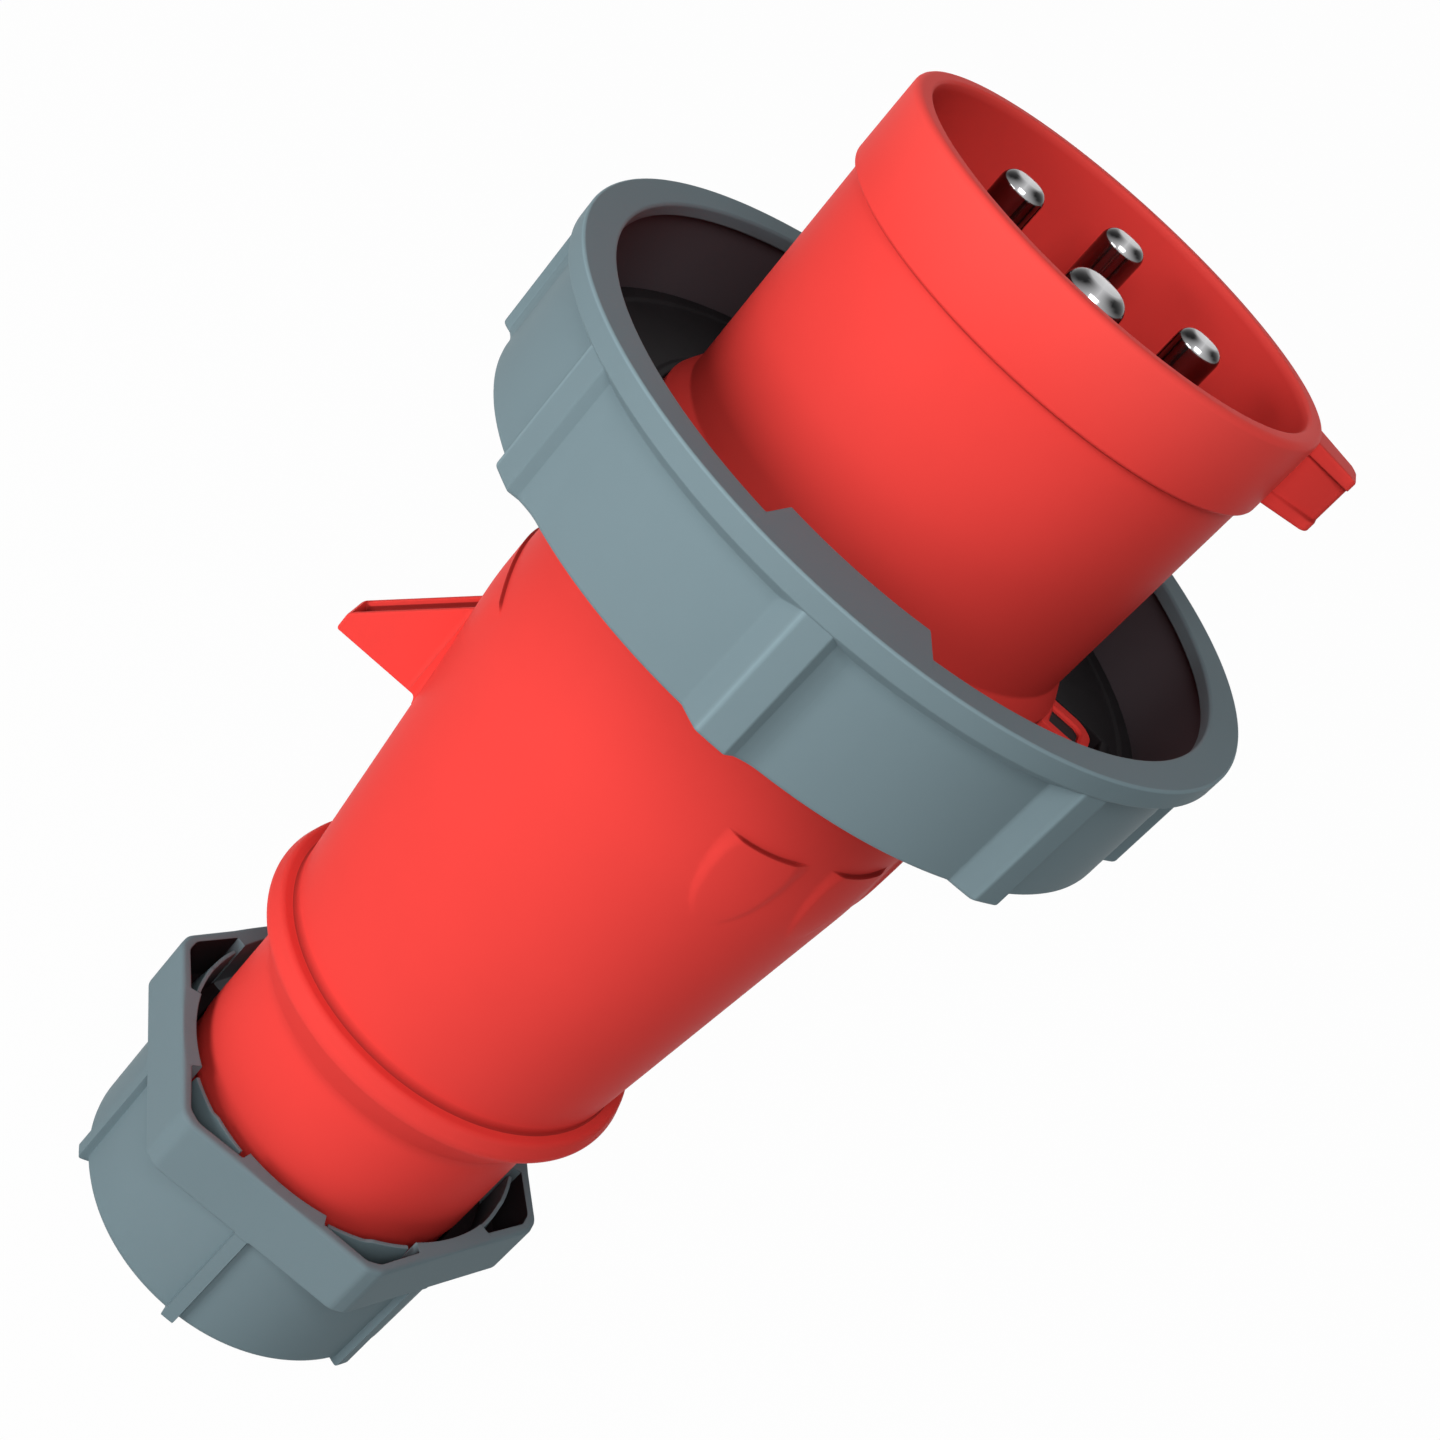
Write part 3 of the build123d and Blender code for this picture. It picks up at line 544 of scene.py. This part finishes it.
class PLUG_OT_sleeve(bpy.types.Operator):
    """Sleeve with its key and ear"""
    bl_idname = "plug.sleeve"
    bl_label = "Sleeve"

    def execute(self, context):
        s = context.scene.plug_sleeve
        top, foot = high("sleeve_housing"), low("sleeve_housing")
        shell = self.shell(s, top, foot)
        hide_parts("sleeve_housing")
        self.key(s, top)
        self.ear(s, low("face_gasket"))
        return {"FINISHED"}

    def shell(self, s, top, foot):
        """The sleeve's closed outline, from the spigot in the grip to the rim and back down inside, carried
        round."""
        spigot, spigot_bore, journal, journal_back = 27.5 * MM, 25.6 * MM, 30.0 * MM, high("grip_housing")
        flange, flange_radius = low("face_gasket"), high("face_gasket", 1) + 0.8 * MM
        flange_back, ledge_top = flange - 3.0 * MM, flange + s.ledge_height
        floor, band_back = top - s.depth, top - s.band_height
        floor_back = floor - s.floor
        angles = turns(256)
        outline = rounded(angles, [
            (0.0, floor_back), (spigot_bore, floor_back, 1.0 * MM), (spigot_bore, foot, 0.3 * MM),
            (spigot, foot, 0.5 * MM), (spigot, journal_back), (journal, journal_back), (journal, flange_back),
            (flange_radius, flange_back, 0.5 * MM), (flange_radius, flange, 0.5 * MM),
            (s.ledge, flange), (s.ledge, ledge_top, 0.4 * MM), (s.foot, ledge_top + s.cove, 1.0 * MM),
            (s.radius, band_back - 0.4 * MM), (s.radius, band_back, 0.3 * MM), (s.band, band_back, 0.45 * MM),
            (s.band, top, s.rim), (s.bore + 0.3 * MM, top, 0.5 * MM), (s.bore, top - 1.2 * MM),
            (s.bore, floor, 1.5 * MM), (0.0, floor)], points=6)
        # Painted light: painted shade in the crease under the band, and painted highlights along the rim and
        # the mouth's inner edge
        under_band, rim, mouth = (rows_in(outline, span) for span in ((78, 83), (90, 95), (96, 101)))
        return piece("sleeve", revolved(outline, angles), *RED,
                     painted_light=0.7 * under_band - 0.4 * rim - 0.5 * mouth)

    def key(self, s, top):
        """The key's section, a tapered block in plan, carried up its height. Between the bars its sides come in
        by the recess, at both ends they come in by a quarter circle, and towards the tip the top and bottom bow
        in by the square of the way out."""
        sunk, corner, edge, bow, soft = 1.5 * MM, 0.9 * MM, 0.35 * MM, 0.9 * MM, 0.35 * MM
        root, tip, half_root, half_tip = s.band - sunk, s.key_reach, s.key_root / 2, s.key_tip / 2
        bottom, upper = top - s.key_inset - s.key_height, top - s.key_inset
        lower_bar, upper_bar = bottom + s.key_bar, upper - s.key_bar
        plan = drawn([(root, -half_root), (tip, -half_tip, corner), (tip, half_tip, corner), (root, half_root)],
                     points=8)
        out, side = plan.T[:, None]
        near = np.array([0.0, 0.12, 0.35, 0.8]) * MM
        level = np.concatenate([bottom + near, np.linspace(lower_bar - soft, lower_bar + soft, 7),
                                np.linspace(upper_bar - soft, upper_bar + soft, 7),
                                upper - near[::-1]])[:, None]
        middle = between(level, lower_bar, upper_bar, soft)
        clear = ramp(out, s.band, s.band + 0.4 * MM)
        from_end = np.minimum(level - bottom, upper - level)
        inset = edge * (1 - np.sqrt(1 - (1 - from_end / edge).clip(0, 1) ** 2))
        way_out = np.clip((out - s.band) / (tip - s.band), 0, 1)
        x = out - inset * way_out
        y = np.sign(side) * (np.abs(side) - s.key_recess * (middle * clear) - inset)
        z = level + bow * way_out ** 2 * (1 - 2 * (level - bottom) / s.key_height)
        # Painted shade: darker along both bars' edges and a little over the recess between them, clear of the
        # band
        edges = bell(level, lower_bar, 0.22 * MM) + bell(level, upper_bar, 0.22 * MM)
        piece("sleeve_key", np.stack(np.broadcast_arrays(x, y, z), axis=-1), *RED, (False, True),
              painted_light=(0.7 * edges + 0.15 * middle) * clear)

    def ear(self, s, flange):
        """The ear: its rounded outline in plan, carried up its outside, over its rim, and down into its pocket.
        Each level is (how far the outline shrinks, how much more on the far side, where it starts, height)."""
        half, rise, soft, sunk = s.ear_width / 2, flange + s.ear_height, 0.3 * MM, 2.0 * MM
        root, inner = s.ledge - sunk, s.ledge + s.ear_wall / 2
        wall, more = s.ear_wall, s.ear_far - s.ear_wall
        levels = [(0.0, 0.0, root, flange - soft), (0.0, 0.0, root, rise - soft),
                  (0.3 * soft, 0.0, root, rise - 0.3 * soft), (soft, 0.0, root, rise),
                  (wall - soft, more, inner - soft, rise), (wall, more, inner, rise - soft),
                  (wall, more, inner, rise - s.ear_pocket)]
        rows = []
        for shrink, far, start, height in levels:
            reach, rounding = s.ear_reach - shrink, s.ear_rounding - shrink
            near_side, far_side = shrink - half, half - shrink - far
            plan = drawn([(start, near_side), (reach, near_side, rounding), (reach, far_side, rounding),
                          (start, far_side)], points=10)
            rows.append(np.column_stack([plan, np.full(len(plan), height)]))
        piece("sleeve_ear", np.stack(rows), *RED, (False, True))


class PLUG_OT_gasket(bpy.types.Operator):
    """Face gasket: a flat ring with a low bead, whose inner edge goes round the ear"""
    bl_idname = "plug.gasket"
    bl_label = "Face gasket"

    def execute(self, context):
        s = context.scene.plug_sleeve
        bottom, top, outer = low("face_gasket"), high("face_gasket"), high("face_gasket", 1)
        gap, sunk, bead, slope, lip = s.gasket_gap, top - 0.3 * MM, 2.2 * MM, 0.6 * MM, 1.0 * MM
        angles = turns(240, (-14.0, 14.0, 60))
        turn = np.radians(np.abs(angles))
        # The divisors stay above zero on the far side, where the notch ends
        end_face = (s.ear_reach + gap) / np.maximum(np.cos(turn), 0.2)
        side_face = (s.ear_width / 2 + gap) / np.maximum(np.sin(turn), 0.02)
        notch = np.where(turn < math.radians(60), lower_of(end_face, side_face, soft=1.6 * MM), 0.0)
        inner = np.maximum(s.ledge + 0.1 * MM, notch)
        outline = rounded(angles, [
            (inner, bottom), (outer, bottom, 0.3 * MM), (outer, top, 0.6 * MM), (outer - bead, top, 0.5 * MM),
            (outer - bead - slope, sunk, 0.4 * MM), (inner + lip + slope, sunk, 0.4 * MM),
            (inner + lip, top, 0.4 * MM), (inner, top, 0.4 * MM)])
        made = piece("gasket", revolved(outline, angles), BODY, "black rubber", "seal_rubber")
        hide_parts("face_gasket")
        return {"FINISHED"}


class PLUG_OT_grip(bpy.types.Operator):
    """Grip with collar, neck, finger pads and fin"""
    bl_idname = "plug.grip"
    bl_label = "Grip"

    def execute(self, context):
        s = context.scene.plug_grip
        shell = self.shell(s)
        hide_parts("grip_housing")
        self.fin(s)
        return {"FINISHED"}

    def shell(self, s):
        """The grip's closed outline carried round the axis. On its outer side the rows near a pad's front step
        are bent to the step's bow, and the radius rises there and fades along the pad and towards its rounded
        flanks."""
        bottom, front = low("grip_housing"), high("grip_housing")
        collar_top, thread_top = s.collar_bottom + s.collar_height, bottom + s.thread_height
        gland_bore, gland_end, tail_bore, bore = 21.5 * MM, 38.0 * MM, 24.0 * MM, 27.6 * MM
        inner = [(gland_bore, bottom), (gland_bore, gland_end, 1.0 * MM), (tail_bore, collar_top, 4.0 * MM),
                 (bore, s.belly_height - 15 * MM, 6.0 * MM), (bore, front, 0.3 * MM)]
        # The third corner holds a row close above the collar, for the painted shadow line there
        outer = [(s.front_radius, front, 0.6 * MM), (s.belly_radius, s.belly_height, 60.0 * MM),
                 (s.tail_radius + 0.14 * MM, collar_top + 1.7 * MM), (s.tail_radius, collar_top, 0.4 * MM),
                 (s.collar_top, collar_top, 0.9 * MM),
                 (s.collar_radius, collar_top - s.collar_crest, 2.0 * MM), (s.neck, s.collar_bottom, 5.0 * MM),
                 (s.neck, thread_top), (s.thread_radius, thread_top), (s.thread_radius, bottom, 0.6 * MM)]
        outline = self.with_rows(drawn(inner + outer, points=9), s, front)
        radius, height = outline[:, :1], outline[:, 1:]
        outer_side, pads_back, pads_end = 29.0 * MM, s.belly_height - 16 * MM, front - 1.0 * MM
        side = (radius > outer_side) & (height > pads_back) & (height < pads_end)
        wall = outline[side[:, 0]][::-1]

        spacing, widest = math.degrees(s.pad_spacing), math.degrees(s.thumb_width / s.belly_radius)
        angles = turns(150, (-2.5 * spacing, 2.5 * spacing, 270), (180 - widest * 0.6, 180 + widest * 0.6, 84))
        # Each pad: its angle, width, front step's height, bow and rise, and where its flank starts at the step
        pads = [(spacing * place, s.pad_width, s.pad_front, s.pad_bow, s.pad_height, 0.55)
                for place in (-2, -1, 0, 1, 2)]
        pads.append((180.0, s.thumb_width, s.thumb_front, -s.thumb_arch, s.thumb_height, 0.9))
        facing, beyond, nose, flank_back, flank_end, fade = 80.0, 2.0, 2.2, 0.74, 1.03, 0.75
        behind, ahead, collar_dark, foot_dark = 0.04 * MM, 0.16 * MM, 0.75, 0.85
        lift = np.zeros((len(outline), len(angles)))
        # Painted shadow: a dark line just above the collar, and a dark line along the foot of each pad's front
        # step, fading towards its ends
        by_tail = np.abs(radius - s.tail_radius) < 0.3 * MM
        painted_shadow = collar_dark * bell(height, collar_top, 0.75 * MM) * by_tail
        for centre, width, step, bow, rise, flank_front in pads:
            turn = away(angles, centre)
            across = np.sin(np.radians(turn)) * s.belly_radius / (width / 2)
            across = np.abs(np.where(np.abs(turn) < facing, across, beyond))
            shift = bow * (1 - np.clip(across, 0.0, 1.0) ** 2)
            height = height - side * shift * bell(height, step, 2.6 * MM + 1.2 * abs(bow))
            edge = step - shift
            along = np.clip((edge - height) / (s.pad_length - shift), 0.0, 1.0)
            narrowed = across / np.sqrt(np.maximum(1 - along ** nose, 1e-4))
            flank_start = flank_back + (flank_front - flank_back) * np.exp(-9 * along)
            flank = 1 - ramp(narrowed, flank_start, flank_end)
            crest = 1 - ramp(height, edge - behind, edge + ahead)
            lift = np.maximum(lift, rise * (1 - along) ** fade * flank * crest * side)
            foot = bell(height, edge + ahead / 2, ahead)
            painted_shadow = np.maximum(painted_shadow, foot_dark * foot * (1 - ramp(across, flank_front, 1.0)) * side)
        radius = np.where(side, np.interp(height, wall[:, 1], wall[:, 0]), radius) + lift
        points = revolved(np.stack([radius, height], axis=-1), angles)
        return piece("grip", points, *RED, painted_light=painted_shadow)

    def with_rows(self, outline, s, front):
        """The closed outline with extra rows over the finger pads, at even steps and closer at the two front
        steps. A row that would lie too near the one before it is left out."""
        loop = np.vstack([outline, outline[:1]])
        along = np.concatenate([[0], np.cumsum(np.linalg.norm(np.diff(loop, axis=0), axis=1))])
        start = along[np.argmax(loop[:, 0] >= s.front_radius - 1e-9)]
        first, last, near, least = 1.2 * MM, front - (s.belly_height - 14 * MM), 0.8 * MM, 0.02 * MM
        close = [front - step + np.linspace(-near, near, 21) for step in (s.pad_front, s.thumb_front)]
        extra = start + np.concatenate([np.linspace(first, last, 62), *close])
        rows = np.unique(np.round(np.concatenate([along[:-1], extra]), 7))
        rows = rows[np.concatenate([[True], np.diff(rows) > least])]
        return np.column_stack([np.interp(rows, along, loop[:, 0]), np.interp(rows, along, loop[:, 1])])

    def fin(self, s):
        """The fin's section in Y and Z, a block with a groove in its top, carried outwards. Its top falls along
        the slope, its sides and back flare at the grip by a quarter circle, it draws in round the tip's edge,
        and the groove runs out at the tip."""
        tip, back, half, groove = s.fin_reach, s.fin_back, s.fin_thickness / 2, s.groove_width / 2
        edge, flare, soft, sunk = 0.4 * MM, 0.8 * MM, 0.25 * MM, 2.2 * MM
        root = s.belly_radius - sunk
        # Close steps over the flare, wider ones along the fin, and a quarter circle at the tip
        out = np.concatenate([np.linspace(root, root + 3.4 * MM, 18),
                              np.linspace(root + 4.0 * MM, tip - edge, 12),
                              tip - edge + edge * np.sin(np.linspace(0.2, math.pi / 2, 6))])
        inset = edge - np.sqrt(edge ** 2 - np.clip(out - (tip - edge), 0.0, edge) ** 2)
        fall = s.fin_slope / (tip - s.belly_radius)
        top = back + s.fin_tip + (tip - out) * fall - inset
        floor = top - s.groove_depth * math.hypot(1.0, fall) * ramp(tip - out, edge, 0.9 * MM)
        # Two rows part way down the groove's near side, between which the painted shade in the groove begins
        above, below = (top * (1 - share) + floor * share for share in (0.42, 0.55))
        section = rounded(out, [(inset - half, back + inset, soft), (half - inset, back + inset, soft),
                                (half - inset, top, soft), (groove, top, soft), (groove, above),
                                (groove, below), (groove, floor, soft), (-groove, floor, soft),
                                (-groove, top, soft), (inset - half, top, soft)], points=5)
        side, height = section[..., 0], section[..., 1]
        collar_top = s.collar_bottom + s.collar_height
        wall = s.tail_radius + ((height - collar_top) * (s.belly_radius - s.tail_radius)
                                / (s.belly_height - collar_top))
        beyond = np.clip(np.hypot(out, side) - wall, 0.0, flare)
        spread = flare - np.sqrt(flare ** 2 - (flare - beyond) ** 2)
        y = side + np.sign(side) * spread * (np.abs(side) > groove + soft)
        z = height - spread * (height < back + soft)
        points = np.stack([-np.broadcast_to(out, y.shape), y, z], axis=-1)
        # Painted shade inside the groove: below its near side's middle, over its floor and up its far side,
        # fading out at the tip
        piece("fin", points, *RED, (True, False),
              painted_light=rows_in(section, (25, 40)) * ramp(tip - out, edge, 0.7 * MM))


class PLUG_OT_nut(bpy.types.Operator):
    """Gland nut: one closed outline carried round the axis, whose corners move with the angle to make the
    hexagon, the pockets with their fingers, and the ribs of the cup"""
    bl_idname = "plug.nut"
    bl_label = "Gland nut"

    def execute(self, context):
        s = context.scene.plug_nut
        front = high("gland_nut")
        pocket_half, finger_half = math.degrees(s.pocket_angle / 2), math.degrees(s.finger_angle / 2)
        rib_half, cut = math.degrees(s.rib_width / 2 / s.cup_base), 27.54
        corners, flats = [60.0 * k for k in range(6)], [60.0 * k + 30.0 for k in range(6)]
        walls = (-pocket_half, -finger_half, finger_half, pocket_half)
        angles = turns(300, *closer(corners, walls, reach=0.3, lines=5),
                       *closer(flats, (-cut, cut), reach=0.9, lines=7),
                       *closer(flats, (-rib_half, rib_half), reach=0.4, lines=6))
        from_corner, from_flat = away(angles * 6, 0.0) / 6, away(angles * 6, 180.0) / 6
        side = s.flats / 2 / np.cos(np.radians(from_flat))
        cut_face = s.corners / 2 / np.cos(np.radians(from_corner))
        hexagon = lower_of(side, cut_face, soft=0.35 * MM)
        pocket = between(from_corner, -pocket_half, pocket_half, soft=0.25)
        finger = between(from_corner, -finger_half, finger_half, soft=0.25)
        rib = between(from_flat, -rib_half, rib_half, soft=0.5)
        finger_out, clear = s.mouth + s.finger, 0.1 * MM
        wall = np.maximum(finger_out + clear, finger_out + clear + pocket * (hexagon - s.wall - finger_out))
        floor = front - pocket * s.pocket_depth
        step = s.finger_step * ramp(from_corner, -0.3, 0.3)
        tip_out = finger_out - finger * pocket * (s.finger - s.finger_tip)
        finger_top = front - pocket * (s.pocket_depth + finger * (s.finger_drop - step - s.pocket_depth))
        base = s.cup_base + rib * (s.rib - s.cup_base)
        neck = s.cup_top + rib * (s.rib - s.cup_top)
        bottom, thread_top = front - s.hexagon, front - s.pocket_depth - 0.5 * MM
        thread_end, seat_top, chamfer = 10.6 * MM, 8.6 * MM, 1.0 * MM
        outline = rounded(angles, [
            (s.hole + chamfer, 0.0, 0.2 * MM), (base, 0.0, 1.5 * MM - rib * 0.9 * MM), (neck, bottom, 0.4 * MM),
            (hexagon, bottom, 0.6 * MM), (hexagon, front, 0.7 * MM), (wall, front, pocket * 0.25 * MM),
            (wall, floor, pocket * 0.4 * MM), (finger_out, floor), (tip_out, finger_top, finger * 0.15 * MM),
            (s.mouth, finger_top, finger * 0.15 * MM + (1 - pocket) * 0.2 * MM),
            (s.mouth, thread_top, 0.2 * MM), (s.thread, thread_top, 0.2 * MM), (s.thread, thread_end, 0.3 * MM),
            (s.seat, seat_top, 0.3 * MM), (s.seat, s.floor, 0.3 * MM), (s.hole, s.floor, 0.3 * MM),
            (s.hole, chamfer, 0.3 * MM)])
        points = revolved(outline, angles + math.degrees(s.turn))
        # Painted shade: the pockets' outer walls and floors, the fingers' outer faces, and the mouth and thread
        # inside are painted dark over each pocket's width
        dark = pocket_half + 0.15
        made = piece("nut", points, "nut", "nut moulding", "grey_plastic",
                     painted_light=rows_in(outline, (28, 39), (50, 64)) * between(from_corner, -dark, dark, 0.1))
        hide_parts("gland_nut")
        return {"FINISHED"}


class PLUG_OT_contacts(bpy.types.Operator):
    """Four contacts: an outline of tip, shaft and barrel carried round each contact's own axis"""
    bl_idname = "plug.contacts"
    bl_label = "Contacts"

    def execute(self, context):
        s = context.scene.plug_contacts
        floor = high("sleeve_housing") - context.scene.plug_sleeve.depth
        angles = turns(72)
        for node in ("earth_pin", "phase_1_pin", "phase_2_pin", "phase_3_pin"):
            lowest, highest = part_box(node)
            radius = s.earth if node == "earth_pin" else s.phase
            barrel, barrel_top, tip = (highest.x - lowest.x) / 2, floor - 4.7 * MM, highest.z
            collar, crown, rounding = radius + 0.4 * MM, radius * 0.08, radius * 0.58
            outline = rounded(angles, [
                (0.0, lowest.z), (barrel, lowest.z, 0.4 * MM), (barrel, barrel_top, 0.4 * MM),
                (collar, barrel_top), (collar, floor, 0.1 * MM), (radius, floor),
                (radius, tip - crown, rounding), (0.0, tip)], points=9)
            # Painted reflection: a dark band round the tip, strongest towards both X sides
            out, high_up = outline[..., 0] / radius, outline[..., 1] > tip - radius
            painted_reflection = bell(out, 0.80, 0.22) * high_up * np.abs(np.cos(np.radians(angles)))
            points = revolved(outline, angles)
            points[..., 0] += (lowest.x + highest.x) / 2
            points[..., 1] += (lowest.y + highest.y) / 2
            made = piece(node.replace("_pin", "_contact"), points, BODY, "nickel plate", "plated_brass",
                         painted_light=np.minimum(1.9 * painted_reflection, 1.0))
            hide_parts(node)
        return {"FINISHED"}


class PLUG_OT_inner_parts(bpy.types.Operator):
    """Gives the CAD nodes that stay their materials"""
    bl_idname = "plug.inner_parts"
    bl_label = "Inner parts"

    def execute(self, context):
        finishes = {"black rubber": ("housing_seal", "pocket_seal", "cable_grommet"),
                    "black moulding": ("pin_carrier",),
                    "pale moulding": ("clamp_cage", "thrust_washer"),
                    "zinc plate": ("earth_screw", "phase_1_screw", "phase_2_screw", "phase_3_screw",
                                   "carrier_screw_1", "carrier_screw_2")}
        for finish, nodes in finishes.items():
            for node in nodes:
                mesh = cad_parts[node].data
                mesh.materials.clear()
                mesh.materials.append(bpy.data.materials[finish])
        return {"FINISHED"}


# Stage


WHITE = (1.0, 1.0, 1.0, 1.0)


def lamp(name, place, aim, power, size):
    """A square area lamp that looks at a point."""
    data = bpy.data.lights.new(name, "AREA")
    data.energy, data.size = power, size
    made = bpy.data.objects.new(name, data)
    made.location = place
    made.rotation_euler = (Vector(aim) - Vector(place)).to_track_quat("-Z", "Y").to_euler()
    bpy.context.scene.collection.objects.link(made)


class PLUG_OT_stage(bpy.types.Operator):
    """Floor, light and the camera of the photograph"""
    bl_idname = "plug.stage"
    bl_label = "Stage"

    def execute(self, context):
        self.floor(context.scene.plug_finishes.floor)
        self.world()
        middle = (0.0, 0.0, 0.1)
        lamp("key", place=(-0.493, -0.493, 0.161), aim=middle, power=2.9, size=0.35)
        lamp("top", place=(0.0, -0.536, 0.55), aim=middle, power=2.1, size=0.35)
        self.camera()
        context.scene.view_settings.view_transform = "Standard"
        return {"FINISHED"}

    def floor(self, tint):
        """A large square floor. Seen by the camera or in gloss it is mostly white, and it keeps the shadow."""
        edge, glow_share = 8.0, 0.98
        mesh = bpy.data.meshes.new("floor")
        mesh.from_pydata([(-edge, -edge, 0.0), (edge, -edge, 0.0), (edge, edge, 0.0), (-edge, edge, 0.0)],
                         [], [(0, 1, 2, 3)])
        made = bpy.data.objects.new("floor", mesh)
        bpy.context.scene.collection.objects.link(made)
        mesh.materials.append(bpy.data.materials.new("floor"))
        finish = Finish(mesh.materials[0])
        finish.put(Base_Color=(*tint, 1.0), Roughness=0.9)
        glow = finish.node("ShaderNodeEmission", {}, {"Color": WHITE, "Strength": 1.0})
        blend = finish.node("ShaderNodeMixShader", {}, {
            0: self.seen(finish) * glow_share, 1: Wire(finish, finish.shader.outputs[0]), 2: glow})
        finish.feed(finish.tree.nodes["Material Output"].inputs["Surface"], blend)

    def seen(self, finish):
        """1 for camera, glossy and transmission rays."""
        rays = finish.tree.nodes.new("ShaderNodeLightPath").outputs
        camera, glossy, through = (Wire(finish, rays[name]) for name in
                                   ("Is Camera Ray", "Is Glossy Ray", "Is Transmission Ray"))
        return (camera + glossy + through).math("MINIMUM", 1.0)

    def world(self):
        """White where it is seen, and a plain soft grey light elsewhere."""
        light = 0.15
        world = bpy.data.worlds.new("studio")
        bpy.context.scene.world = world
        sky = Finish(world, "Background")
        sky.put(Color=WHITE, Strength=self.seen(sky) * (1 - light) + light)

    def camera(self):
        """The photograph's camera, rolled so that the plug leans to the right."""
        right, up = Vector((0.7501, 0.2582, 0.6089)), Vector((-0.6591, 0.3678, 0.6559))
        back = right.cross(up).normalized()
        data = bpy.data.cameras.new("camera")
        data.lens, data.sensor_width = 57.25, 36.0
        data.clip_start, data.clip_end = 0.02, 20.0
        made = bpy.data.objects.new("camera", data)
        turn = Matrix((right, up, back)).transposed().to_4x4()
        made.matrix_world = Matrix.Translation((-0.0138, -0.2637, 0.2452)) @ turn
        bpy.context.scene.collection.objects.link(made)
        bpy.context.scene.camera = made


class PLUG_PT_panel(bpy.types.Panel):
    """Lists the operators of the plug, and the sizes and colours that they read"""
    bl_idname = "PLUG_PT_panel"
    bl_label = "Pin and sleeve plug"
    bl_space_type = "VIEW_3D"
    bl_region_type = "UI"
    bl_category = "Plug"

    def draw(self, context):
        for operator in OPERATORS:
            self.layout.operator(operator.bl_idname)
        for name, group in GROUPS.items():
            box = self.layout.box()
            for key in group.__annotations__:
                box.prop(getattr(context.scene, name), key)


GROUPS = {"plug_ring": RingSizes, "plug_sleeve": SleeveSizes, "plug_grip": GripSizes, "plug_nut": NutSizes,
          "plug_contacts": ContactSizes, "plug_finishes": Finishes}
OPERATORS = (PLUG_OT_finishes, PLUG_OT_ring, PLUG_OT_sleeve, PLUG_OT_gasket, PLUG_OT_grip, PLUG_OT_nut,
             PLUG_OT_contacts, PLUG_OT_inner_parts, PLUG_OT_stage)


def register():
    for name, group in GROUPS.items():
        bpy.utils.register_class(group)
        setattr(bpy.types.Scene, name, bpy.props.PointerProperty(type=group))
    for made in OPERATORS + (PLUG_PT_panel,):
        bpy.utils.register_class(made)


def unregister():
    for made in (PLUG_PT_panel,) + OPERATORS[::-1]:
        bpy.utils.unregister_class(made)
    for name, group in GROUPS.items():
        delattr(bpy.types.Scene, name)
        bpy.utils.unregister_class(group)


def main():
    register()
    for operator in OPERATORS:
        group, name = operator.bl_idname.split(".")
        getattr(getattr(bpy.ops, group), name)()


if __name__ == "__main__":
    main()
